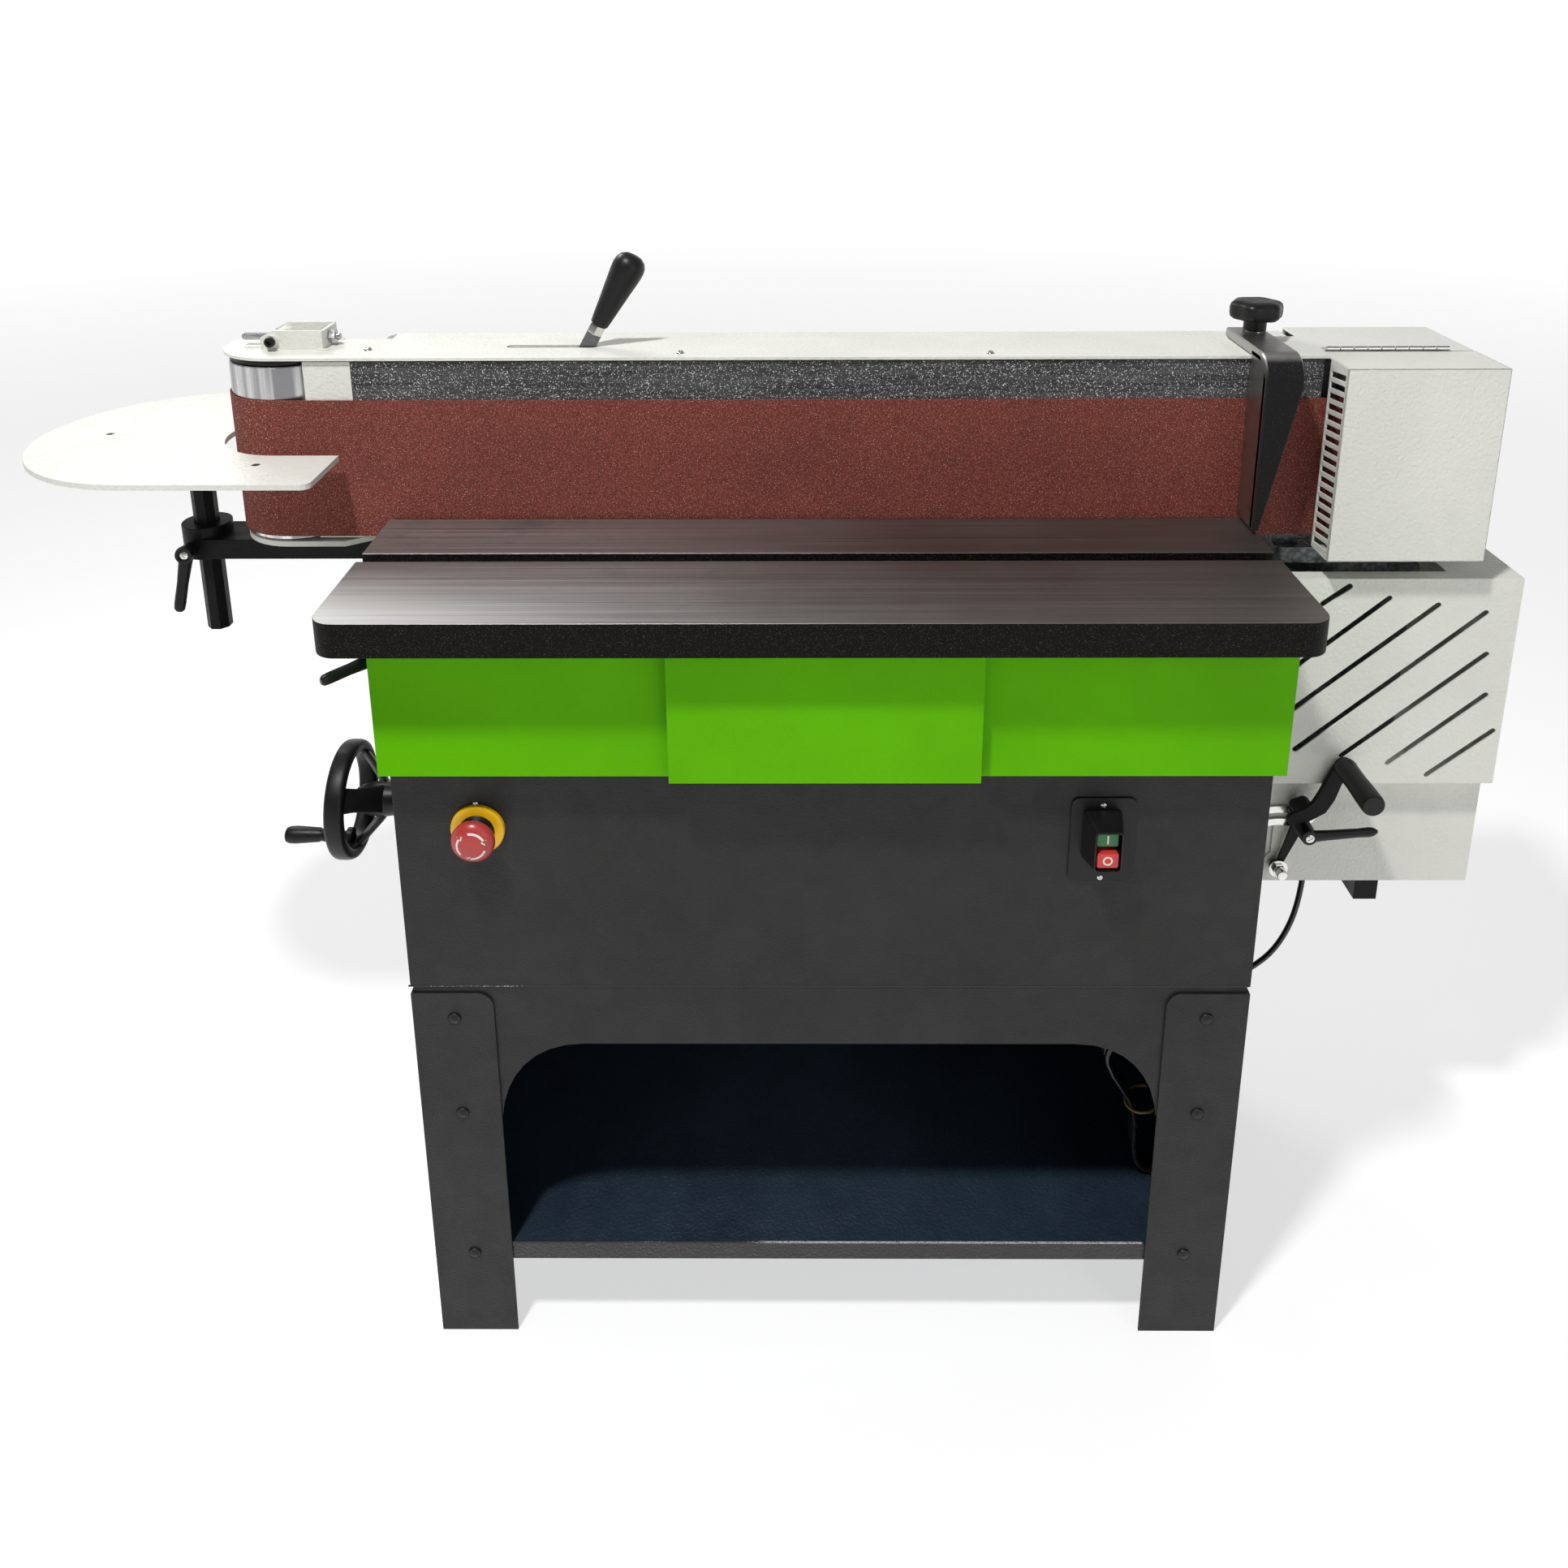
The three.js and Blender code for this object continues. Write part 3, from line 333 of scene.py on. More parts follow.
# The shelf's last colour is painted shade on its front-facing faces.
SHELF = powder_coat(
    "blue_black_powder_coat", (0.014, 0.026, 0.043), 300.0, 0.0010, 0.36, 0.18, (0.0125, 0.0122, 0.012)
)
GREEN = powder_coat(
    "green_powder_coat", (0.110, 0.450, 0.0), 600.0, 0.00020, 0.36, 0.05, Specular_IOR_Level=0.05
)
ENAMEL = powder_coat(
    "black_enamel", (0.006, 0.006, 0.0065), 260.0, 0.00030, 0.42, 0.2, Specular_IOR_Level=0.14
)
HAMMER, IRON, STOP_IRON = hammer_paint(), ground_iron(), stop_iron()
STEEL = metal("bare_steel", (0.56, 0.57, 0.58), 0.28, (60.0, 60.0, 900.0))
NICKEL = metal("nickel", (0.78, 0.77, 0.74), 0.16, (500.0, 500.0, 500.0), 0.00001, 0.1)
DARK_STEEL = metal("dark_steel", (0.20, 0.20, 0.21), 0.35, (500.0, 500.0, 500.0), 0.00002)
ALUMINIUM = turned_aluminium()
GRIT, GRAPHITE = abrasive(), graphite_cloth()
BLACK = plastic("black_plastic", (0.0075, 0.0075, 0.008), 0.40, Specular_IOR_Level=0.3)
RUBBER = plastic("cable_jacket", (0.006, 0.006, 0.0065), 0.24, 500.0, 0.00004, Specular_IOR_Level=0.6)
YELLOW = plastic("yellow_plastic", (0.90, 0.50, 0.004), 0.36)
RED = plastic("red_plastic", (0.46, 0.045, 0.04), 0.32, 700.0, 0.00004)
KEY_GREEN = plastic("green_plastic", (0.028, 0.20, 0.055), 0.32)
KEY_RED = plastic("key_red_plastic", (0.62, 0.040, 0.035), 0.30)
INK = plastic("white_print", (0.78, 0.76, 0.74), 0.5)
TIE = plastic("wire_tie", (0.30, 0.20, 0.035), 0.4)
# painted highlight for the shelf's lip and the cabinet's seam
EDGE = painted_edge_highlight()


def piece(name, bm, material, body, replaces, smooth):
    """An object from a bmesh in the row frame, with its material and body."""
    mesh = bpy.data.meshes.new(name)
    bm.to_mesh(mesh)
    bm.free()
    mesh.polygons.foreach_set("use_smooth", [True] * len(mesh.polygons))
    mesh.set_sharp_from_angle(angle=math.radians(smooth))
    mesh.materials.append(material)
    obj = bpy.data.objects.new(name, mesh)
    bpy.context.scene.collection.objects.link(obj)
    even = obj.modifiers.new("even_normals", "WEIGHTED_NORMAL")
    even.keep_sharp = True
    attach(obj, body)
    finish = material.name.split(".")[0]
    if replaces:
        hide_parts(*replaces)
    return obj


class Form:
    """Collects solids, given in machine millimetres, in one mesh."""

    def __init__(self):
        self.bm = bmesh.new()

    def add(self, part, bevel=0.0, segments=1):
        """Takes in a solid's mesh, with its edges over 30 degrees bevelled."""
        bmesh.ops.remove_doubles(part, verts=part.verts, dist=1e-4)
        bmesh.ops.recalc_face_normals(part, faces=part.faces)
        if bevel:
            limit = math.radians(30)
            sharp = [e for e in part.edges if len(e.link_faces) == 2 and e.calc_face_angle() > limit]
            bmesh.ops.bevel(
                part, geom=sharp, offset=bevel, segments=segments, profile=0.6, affect="EDGES",
                clamp_overlap=True,
            )
        part.transform(Matrix.Translation(ZERO) @ Matrix.Scale(MM, 4))
        mesh = bpy.data.meshes.new("part")
        part.to_mesh(mesh)
        part.free()
        self.bm.from_mesh(mesh)
        bpy.data.meshes.remove(mesh)
        return self

    def block(self, x0, x1, y0, y1, z0, z1, bevel=0.6, segments=2):
        part = bmesh.new()
        bmesh.ops.create_cube(part, size=1.0)
        size = Matrix.Diagonal((x1 - x0, y1 - y0, z1 - z0, 1.0))
        part.transform(Matrix.Translation(((x0 + x1) / 2, (y0 + y1) / 2, (z0 + z1) / 2)) @ size)
        return self.add(part, bevel, segments)

    def slab(self, outline, axis, a, b, bevel, segments=2):
        """An outline in the plane across axis ("x": y z, "y": x z, "z": x y), from a to b along it."""
        order = {"x": (2, 0, 1), "y": (0, 2, 1), "z": (0, 1, 2)}[axis]
        rings = [[[(u, v, w)[i] for i in order] for u, v in outline] for w in (a, b)]
        return self.loft(rings, True, bevel, segments)

    def turned(self, profile, base, direction, sides=32):
        """A profile of (radius, distance) pairs turned about the axis through base along direction."""
        part = bmesh.new()
        rings = []
        for radius, along in profile:
            spots = circle(0, 0, radius, steps=sides) if radius > 1e-6 else [(0, 0)]
            rings.append([part.verts.new((x, y, along)) for x, y in spots])
        for low, high in zip(rings, rings[1:]):
            for i in range(sides):
                j = (i + 1) % sides
                ring = [low[i % len(low)], low[j % len(low)], high[j % len(high)], high[i % len(high)]]
                corners = list(dict.fromkeys(ring))
                if len(corners) > 2:
                    part.faces.new(corners)
        for ring in (rings[0], rings[-1]):
            if len(ring) > 2:
                part.faces.new(ring)
        part.transform(along_axis(base, direction))
        return self.add(part)

    def rod(self, start, end, radius, sides=24, bevel=0.5):
        start, end = Vector(start), Vector(end)
        length = (end - start).length
        b = min(bevel, 0.45 * length, 0.6 * radius)
        profile = [(radius - b, 0.0), (radius, b), (radius, length - b), (radius - b, length)]
        return self.turned(profile, start, end - start, sides)

    def loft(self, sections, cap=True, bevel=0.0, segments=1):
        """Rings of equal point counts, in order, joined into one skin."""
        part = bmesh.new()
        rings = [[part.verts.new(p) for p in ring] for ring in sections]
        count = len(rings[0])
        for low, high in zip(rings, rings[1:]):
            for i in range(count):
                j = (i + 1) % count
                part.faces.new((low[i], low[j], high[j], high[i]))
        if cap:
            part.faces.new(rings[0])
            part.faces.new(rings[-1])
        return self.add(part, bevel, segments)

    def ring(self, centre, direction, radius, section, sides):
        """A closed section of (outward, along) points swept round a circle."""
        place = along_axis(centre, direction)
        loops = []
        for x, y in circle(0, 0, 1, steps=sides):
            loops.append([place @ Vector(((radius + o) * x, (radius + o) * y, h)) for o, h in section])
        return self.loft([*loops, loops[0]], cap=False)

    def tube(self, points, radius, sides=10):
        """A round tube along a list of points; radius may be a function of the share of the way."""
        pts = [Vector(p) for p in points]
        sections = []
        up = Vector((0.12, 0.31, 0.94))
        for i, p in enumerate(pts):
            ahead = (pts[min(i + 1, len(pts) - 1)] - pts[max(i - 1, 0)]).normalized()
            side = ahead.cross(up).normalized()
            up = side.cross(ahead).normalized()
            r = radius(i / (len(pts) - 1)) if callable(radius) else radius
            sections.append(ellipse(p, side, up, r, r, sides))
        return self.loft(sections)

    def done(self, name, material, body, replaces=(), smooth=38.0):
        return piece(name, self.bm, material, body, replaces, smooth)


def circle(cx, cy, r, a0=0.0, a1=360.0, steps=24):
    full = abs(a1 - a0) >= 360.0
    count = steps if full else steps + 1
    angles = [math.radians(a0 + (a1 - a0) * i / steps) for i in range(count)]
    return [(cx + r * math.cos(a), cy + r * math.sin(a)) for a in angles]


def ellipse(centre, side, up, w, h, count=20):
    """A ring of points round centre, w out along side and h out along up."""
    return [centre + side * w * x + up * h * y for x, y in circle(0, 0, 1, steps=count)]


def along_axis(base, direction):
    """The place of a shape made about Z from its origin, so that Z runs along direction from base."""
    turn = Vector(direction).normalized().to_track_quat("Z", "Y").to_matrix().to_4x4()
    return Matrix.Translation(Vector(base)) @ turn


def rounded(x0, x1, y0, y1, r, steps=6):
    corners = [(x1 - r, y0 + r, -90), (x1 - r, y1 - r, 0), (x0 + r, y1 - r, 90), (x0 + r, y0 + r, 180)]
    return [p for cx, cy, a in corners for p in circle(cx, cy, r, a, a + 90, steps)]


def oblong(x0, y0, x1, y1, r0, r1=None, steps=10):
    """Two round ends joined by straight sides."""
    r1 = r0 if r1 is None else r1
    a = math.degrees(math.atan2(y1 - y0, x1 - x0))
    return circle(x0, y0, r0, a + 90, a + 270, steps) + circle(x1, y1, r1, a - 90, a + 90, steps)


def ribbon(line, widths):
    """An outline of a bent flat bar along a line, with its half width at each point."""
    pts = [Vector(p) for p in line]
    left, right = [], []
    for i, p in enumerate(pts):
        ahead = (pts[min(i + 1, len(pts) - 1)] - pts[max(i - 1, 0)]).normalized()
        side = Vector((-ahead.y, ahead.x)) * widths[i]
        left.append(p + side)
        right.append(p - side)
    first, last = (pts[1] - pts[0]).normalized(), (pts[-1] - pts[-2]).normalized()
    nose = [pts[-1] + Matrix.Rotation(math.radians(a), 2) @ last * widths[-1] for a in (60, 30, 0, -30, -60)]
    tail = [pts[0] - Matrix.Rotation(math.radians(a), 2) @ first * widths[0] for a in (60, 30, 0, -30, -60)]
    return [tuple(p) for p in [*left, *nose, *right[::-1], *tail]]


def dress(node, material, bevel):
    """A CAD node that is shown as it is: softened edges, even shading and its own material."""
    obj = NODES[node]
    mesh = obj.data
    if "custom_normal" in mesh.attributes:
        mesh.attributes.remove(mesh.attributes["custom_normal"])
    mesh.polygons.foreach_set("use_smooth", [True] * len(mesh.polygons))
    mesh.materials.clear()
    mesh.materials.append(material)
    weld = obj.modifiers.new("weld", "WELD")
    weld.merge_threshold = 0.00002
    flat = obj.modifiers.new("flat_faces", "DECIMATE")
    flat.decimate_type = "DISSOLVE"
    flat.angle_limit = math.radians(1.0)
    if bevel:
        soft = obj.modifiers.new("soft_edges", "BEVEL")
        soft.width = bevel * MM
        soft.segments = 2
        soft.limit_method = "ANGLE"
        soft.angle_limit = math.radians(35)
        soft.use_clamp_overlap = True
    even = obj.modifiers.new("even_normals", "WEIGHTED_NORMAL")
    even.keep_sharp = False


# ---------------------------------------------------------------- cords
def smooth_path(points, steps):
    """A Catmull-Rom line through the points, in millimetres."""
    pts = [Vector(p) for p in points]
    ends = [pts[0] * 2 - pts[1], *pts, pts[-1] * 2 - pts[-2]]
    line = []
    for p0, p1, p2, p3 in zip(ends, ends[1:], ends[2:], ends[3:]):
        for k in range(steps):
            t = k / steps
            bend, twist = 2 * p0 - 5 * p1 + 4 * p2 - p3, 3 * p1 - p0 - 3 * p2 + p3
            line.append(0.5 * (2 * p1 + (p2 - p0) * t + bend * t**2 + twist * t**3))
    return [*line, pts[-1]]


def cable(name, line, diameter, replaces):
    """A round cable as one open curve through the points, and its length in metres."""
    curve = bpy.data.curves.new(name, "CURVE")
    curve.dimensions = "3D"
    curve.bevel_depth = diameter / 2 * MM
    curve.bevel_resolution = 5
    curve.use_fill_caps = True
    spline = curve.splines.new("POLY")
    spline.points.add(len(line) - 1)
    for point, p in zip(spline.points, line):
        point.co = (*at(*p), 1.0)
    curve.materials.append(RUBBER)
    obj = bpy.data.objects.new(name, curve)
    bpy.context.scene.collection.objects.link(obj)
    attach(obj, "base")
    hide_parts(*replaces)
    line = [Vector(p) for p in line]
    length = sum((b - a).length for a, b in zip(line, line[1:])) * MM
    return obj, length


MOTOR_CABLE = [
    (612, 360, 469.7), (612, 358, 440), (611, 350, 400), (606, 341, 360), (598, 334, 325), (586, 330, 295),
    (570, 328, 270), (548, 327, 250), (522, 326, 234), (495, 325, 224), (470, 325, 219), (436.7, 325, 217),
]
MAINS_LEAD = [
    (352, 215, 451.7), (352, 215, 425), (352, 213, 402), (352.5, 207, 382), (354, 197, 360), (357, 186, 340),
    (360.5, 176, 323),
]
LEAD_TO_HANK = (368.6, 170.4, 307)
LEAD_TAIL = [
    (380.2, 138.6, 276.5), (388.5, 135.2, 261), (398.0, 131.4, 248), (405.4, 128.4, 237), (408.4, 126.0, 225),
]
# The hank's two end circles, (x, z), how much its tie pulls each side in, and its first and last turn in Y.
HANK = {
    "low": (390.0, 151.8), "high": (350.0, 285.0), "radius": 25.8, "waist": 13.0, "turns": 3,
    "back": 167.2, "front": 140.8,
}
LEAD_THICK, CABLE_THICK = 7.5, 7.0


def hank_turns():
    """The mains lead's turns: down on the right, up on the left, pinched at the tie between them."""
    low, high = Vector(HANK["low"]), Vector(HANK["high"])
    along = (high - low).normalized()
    right = Vector((along.y, -along.x))
    r = HANK["radius"]
    corner, side = 12, 8
    waist = [r - HANK["waist"] * (0.5 - 0.5 * math.cos(math.tau * k / side)) for k in range(side)]
    bends = [math.pi * k / corner for k in range(corner)]
    loop = [high + (low - high) * k / side + right * waist[k] for k in range(side)]
    loop += [low + right * r * math.cos(a) - along * r * math.sin(a) for a in bends]
    loop += [low + (high - low) * k / side - right * waist[k] for k in range(side)]
    loop += [high - right * r * math.cos(a) + along * r * math.sin(a) for a in bends]
    total = HANK["turns"] * len(loop)
    turns = [loop[i % len(loop)] for i in range(total + 1)]
    step = (HANK["front"] - HANK["back"]) / total
    return [(p.x, HANK["back"] + step * i, p.y) for i, p in enumerate(turns)]


def motor_cable():
    run, length = cable("motor_cable_run", smooth_path(MOTOR_CABLE, 3), CABLE_THICK, ["motor_cable"])
    sleeve = [(6.5, 0), (7.5, 1), (7.5, 4), (5.6, 6), (4.4, 26), (3.9, 26.5)]
    form = Form().turned(sleeve, MOTOR_CABLE[0], (0, -0.05, -1), 20)
    sleeve = form.done("motor_cable_sleeve", RUBBER, "base")
    lip = [(2.8, -1.0), (2.8, 1.4), (1.4, 2.6), (-0.9, 2.6), (-1.5, 0), (0, -1.0)]
    Form().ring((437.6, 325, 217), (1, 0, 0), 5.2, lip, 28).done("motor_cable_grommet", RUBBER, "base")


def mains_plug():
    """A three-pin plug's body and pins, standing on the shelf beside the hank."""
    form = Form().slab(rounded(391, 425, 160, 208, 7), "y", 108, 135, 3.0, 3)
    form.slab(rounded(396, 420, 168, 200, 4), "y", 107.6, 112, 1.2)
    neck = [(8.2, 0), (7.6, 4), (7.0, 5), (7.4, 6), (6.0, 15), (5.3, 33)]
    form.turned(neck, (408, 122, 205), (0.5, 6, 33), 20)
    body = form.done("mains_plug_body", BLACK, "base", ["mains_plug"])
    form = Form()
    for x0, x1, y0, y1 in ((406, 410, 116, 124), (396, 402, 116, 119), (414, 420, 116, 119)):
        form.block(x0, x1, y0, y1, 142, 161, 0.5)
    return body, form.done("mains_plug_pins", NICKEL, "base")


def mains_lead():
    turns = hank_turns()
    path = smooth_path(MAINS_LEAD, 2) + smooth_path([LEAD_TO_HANK, turns[0]], 2)[:-1] + turns + LEAD_TAIL
    run, length = cable("mains_lead_run", path, LEAD_THICK, ["mains_lead", "mains_hank"])
    sleeve = [(8.2, 0), (9.0, 1), (9.0, 9), (6.4, 11), (4.8, 32), (4.2, 33)]
    form = Form().turned(sleeve, MAINS_LEAD[0], (0, 0, -1), 22)
    gland = form.done("mains_lead_gland", RUBBER, "base")
    body, pins = mains_plug()
    loop = [(370 + 19 * x, 154 + 19 * y, 218.4 + 4 * x) for x, y in circle(0, 0, 1)]
    tie = Form().tube([*loop, loop[0]], 1.5, 8).done("mains_lead_tie", TIE, "base")


motor_cable()
mains_lead()


# ---------------------------------------------------------------- the CAD parts that stay
DRESSED = (
    (ANTHRACITE,
     "leg_front_left leg_front_right leg_rear_left leg_rear_right stand_front_panel "
     "stand_wrap_panel cabinet_shell cabinet_top"),
    (SHELF, "shelf"),
    (WHITE, "motor_cover head_beam top_plate rear_belt_guard drum_guard idler_carriage end_table_plate"),
    (STEEL,
     "lift_post_left lift_post_right platen head_post_left head_post_right tension_spring "
     "elevating_screw oscillator_cam"),
    (ENAMEL, "end_bracket oscillator_gearbox end_table_post"),
    (GRAPHITE, "graphite_pad"),
    (HAMMER, "motor motor_bracket table_saddle"),
    (DARK_STEEL, "cam_yoke"),
    (IRON, "main_table"),
    (GREEN, "table_apron"),
)
BEVELS = {
    "platen": 0.2, "tension_spring": 0.0, "elevating_screw": 0.3, "cam_yoke": 0.3, "graphite_pad": 0.2,
    "end_bracket": 2.0, "motor_bracket": 1.5, "main_table": 0.9, "end_table_plate": 1.2,
}

for material, names in DRESSED:
    for name in names.split():
        dress(name, material, BEVELS.get(name, 0.7))


# ---------------------------------------------------------------- drums and belt
AXIS_Y = (span("idler_drum")[2] + span("idler_drum")[3]) / 2
IDLER_X = (span("idler_drum")[0] + span("idler_drum")[1]) / 2
DRIVE_X = (span("drive_drum")[0] + span("drive_drum")[1]) / 2
DRUM_R = (span("idler_drum")[1] - span("idler_drum")[0]) / 2
BELT_FRONT = span("abrasive_belt")[2]


def drum_profile(low, high, bore):
    """Outline of a crowned drum with relieved ends and turned end faces."""
    rim = DRUM_R
    return [
        (bore, low + 4), (bore + 6, low + 4), (bore + 8, low), (rim - 7, low), (rim - 1.6, low),
        (rim - 0.6, low + 1.0), (rim - 0.5, low + 4), (rim - 0.1, low + 30), (rim, (low + high) / 2),
        (rim - 0.1, high - 30), (rim - 0.5, high - 4), (rim - 0.6, high - 1.0), (rim - 1.6, high),
        (rim - 7, high), (bore + 8, high), (bore + 6, high - 4), (bore, high - 4),
    ]


def drums():
    z0, z1 = span("idler_drum")[4:]
    closed = drum_profile(z0, z1, 16.0)
    form = Form().turned([*closed, closed[0]], (IDLER_X, AXIS_Y, 0), (0, 0, 1), 96)
    form.done("idler_drum_turned", ALUMINIUM, "idler_drum", ["idler_drum"], 25)
    width = z1 - z0 + 1
    z0, z1 = span("drive_drum")[4:]
    shell = drum_profile(z1 - width, z1, 14.0)[:-1]
    shaft = [(12.5, z0), (14, z0 + 1.5), *shell, (13.0, z1 - 4), (0.0, z1 - 4)]
    form = Form().turned(shaft, (DRIVE_X, AXIS_Y, 0), (0, 0, 1), 96)
    form.done("drive_drum_turned", ALUMINIUM, "drive_drum", ["drive_drum"], 25)


def belt():
    """The belt as a thin loop round both drums, with slightly rounded edges."""
    _, _, y0, _, z0, z1 = span("abrasive_belt")
    outer = AXIS_Y - y0

    def loop(r):
        return circle(IDLER_X, AXIS_Y, r, 90, 270, 40) + circle(DRIVE_X, AXIS_Y, r, -90, 90, 40)

    sections = []
    for (ix, iy), (ox, oy) in zip(loop(outer - 1.2), loop(outer)):
        mx, my = (ix + ox) / 2, (iy + oy) / 2
        low = [(ix, iy, z0 + 0.3), (mx, my, z0), (ox, oy, z0 + 0.4)]
        sections.append([*low, (ox, oy, z1 - 0.4), (mx, my, z1), (ix, iy, z1 - 0.3)])
    form = Form().loft([*sections, sections[0]], cap=False)
    form.done("abrasive_belt_loop", GRIT, "head", ["abrasive_belt"], 50)


def work_stop():
    """A casting: a flat clamp top that bends down into a tapered front flange, with a web to the left."""
    x0, x1, y0, y1, z0, z1 = span("work_stop")
    left = x0 + 4
    radius, thick = 25.0, 10.5
    bend = [math.radians(90 + 90 * k / 10) for k in range(11)]
    outer = [(y1 - 0.5, z1), (y0 + radius + 30, z1)]
    outer += [(y0 + radius + radius * math.cos(a), z1 - radius + radius * math.sin(a)) for a in bend]
    outer += [(y0, z1 - 34), (y0, 980), (y0, 930), (y0, z0 + 8), (y0, z0)]
    inner = [(y1 - 0.5, z1 - thick), (y0 + radius + 30, z1 - thick)]
    short = radius - thick
    inner += [(y0 + radius + short * math.cos(a), z1 - radius + short * math.sin(a)) for a in bend]
    inner += [(y0 + thick, z) for _, z in outer[-5:]]

    def right(z):
        share = min(1.0, max(0.0, (z - z0) / (z1 - 34 - z0)))
        return left + 7 + (x1 - left - 7) * share

    sections = []
    chamfer = 1.6
    for (oy, oz), (iy, iz) in zip(outer, inner):
        r = right(oz)
        low, high = left + chamfer, r - chamfer
        mid = Vector((oy - iy, oz - iz)).normalized() * chamfer
        sections.append([
            (left, oy - mid.x, oz - mid.y), (low, oy, oz), (high, oy, oz), (r, oy - mid.x, oz - mid.y),
            (r, iy + mid.x, iz + mid.y), (high, iy, iz), (low, iy, iz), (left, iy + mid.x, iz + mid.y),
        ])
    form = Form().loft(sections)
    web = [(y0 + 3, z0), (BELT_FRONT - 2, z0), (BELT_FRONT - 2, z1 - 4), (y0 + 24, z1 - 4), (y0 + 3, z1 - 24)]
    form.slab(web, "x", left, left + 8, 0.8)
    form.done("work_stop_casting", STOP_IRON, "work_stop", ["work_stop"], 40)
    form = Form().turned([(5.4, 0), (10.5, 0), (10.5, 1.4), (5.4, 1.5)], (475, AXIS_Y, z1), (0, 0, 1), 32)
    form.done("work_stop_washer", NICKEL, "work_stop")


drums()
belt()
work_stop()


# ---------------------------------------------------------------- screws and nuts
def cap_screw(form, centre, direction, r, h):
    """A round head with a small chamfer and a recess for a hex key."""
    profile = [(r * 0.9, 0), (r, h * 0.15), (r, h * 0.8), (r * 0.88, h)]
    profile += [(r * 0.50, h), (r * 0.46, h * 0.45), (0, h * 0.4)]
    form.turned(profile, centre, direction, 18)


def dome_screw(form, centre, direction, r, h):
    """A raised round head with a cross on it."""
    dome = [(r * u, h * v) for u, v in circle(0, 0, 1, 0, 80, 5)]
    form.turned([*dome, (0, h)], centre, direction, 24)
    place = along_axis(centre, direction)
    for u, v in circle(0, 0, 0.55 * r, 30, 120, 1):
        start, end = (place @ Vector((u * k, v * k, 1.01 * h)) for k in (-1, 1))
        form.rod(start, end, r * 0.09, sides=6, bevel=0)


def hex_nut(form, centre, direction, flats, height, hole=0.0):
    r = flats / math.sqrt(3)
    profile = [(r * 0.93, 0), (r, height * 0.12), (r, height * 0.88), (r * 0.93, height), (hole, height)]
    form.turned(profile if hole else [*profile[:-1], (0, height)], centre, direction, 6)


def screws():
    top = span("top_plate")
    plate_z = top[4] + 3
    form = Form()
    for x, y in ((-476, 288), (-142, 271), (183, 267)):
        dome_screw(form, (x, y, plate_z), (0, 0, 1), 4.6, 2.4)
    form.done("top_plate_screws", NICKEL, "head")
    form = Form()
    cap = [(6.9, 0), (7.0, 0.8), (6.4, 1.8), (5.4, 1.5), (4.8, 1.7), (2.4, 2.3), (0, 2.4)]
    for x in (-372, 397):
        for z in (415, 296, 109):
            form.turned(cap, (x, span("leg_front_left")[2], z), (0, -1, 0))
    form.done("leg_plugs", BLACK, "base")
    form = Form()
    plate = span("end_table_plate")
    for x, y in ((-782, AXIS_Y), (-578, 214), (-578, 422)):
        cap_screw(form, (x, y, plate[5] - 3.0), (0, 0, 1), 4.3, 2.6)
    form.done("end_table_screws", DARK_STEEL, "end_table")


screws()


# ---------------------------------------------------------------- table lift wheel, levers
WHEEL = {"y": 180.0, "z": 590.0, "radius": 62.5, "crank": 45}


def oval(value):
    """A cosine or sine pushed outwards, for a rounded square section."""
    return math.copysign(abs(value) ** 0.62, value)


def handwheel():
    y, z, radius = WHEEL["y"], WHEEL["z"], WHEEL["radius"]
    left, right = (-1, 0, 0), (1, 0, 0)
    section = [(oval(u) * 6.6, oval(v) * 10) for u, v in circle(0, 0, 1, steps=20)]
    form = Form().ring((-502, y, z), right, radius - 6.6, section, 72)
    spoke = ((0.16, 15, 7, -464), (0.4, 13.5, 6, -472), (0.7, 12, 5.5, -486), (0.94, 13.5, 5.8, -498))
    for i in range(3):
        a = -math.pi / 2 + i * math.tau / 3
        out = Vector((0, math.cos(a), math.sin(a)))
        side = Vector((0, -math.sin(a), math.cos(a)))
        form.loft([
            ellipse(Vector((x, y, z)) + out * (radius - 6.4) * t, side, Vector(right), half, thick, 16)
            for t, half, thick, x in spoke
        ])
    hub = [(15.5, 0), (16.5, 1.5), (18.5, 16), (18, 34), (15, 44), (12, 47), (12, 49)]
    form.turned(hub, (-446, y, z), left, 40)
    form.rod((-490, y, z), (-12, y, z), 9)
    form.turned([(23.5, 0), (23.5, 1), (13.5, 12), (0, 12)], (-14, y, z), right, 28)
    crank = [(7.5, 0), (8, 1), (8, 6), (5, 8), (4, 8), (4, 74), (0, 75)]
    form.turned(crank, (-504, y, z - WHEEL["crank"]), left, 24)
    form.done("handwheel_cast", BLACK, "handwheel", ["handwheel"])
    form = Form().turned([(9.5, 0), (9.5, 1.6), (6.5, 1.8)], (-495, y, z), left, 30)
    hex_nut(form, (-496.4, y, z), left, 13, 6.5)
    form.turned([(4.0, 0), (4.0, 3.4), (2.6, 4.4), (0, 4.6)], (-502.6, y, z), left, 20)
    form.done("handwheel_nut", NICKEL, "handwheel")
    profile = [
        (4.6, 0), (6.6, 0), (7.4, 1.2), (7.4, 20), (6.6, 21.5), (6.6, 23), (7.6, 24.5), (8.6, 38), (9.4, 50),
        (9.1, 57), (7.6, 60.8), (5.4, 62), (4.6, 62), (4.6, 0),
    ]
    form = Form().turned(profile, (-516, y, z - WHEEL["crank"]), left, 40)
    form.done("wheel_grip_turned", BLACK, "wheel_grip", ["wheel_grip"])


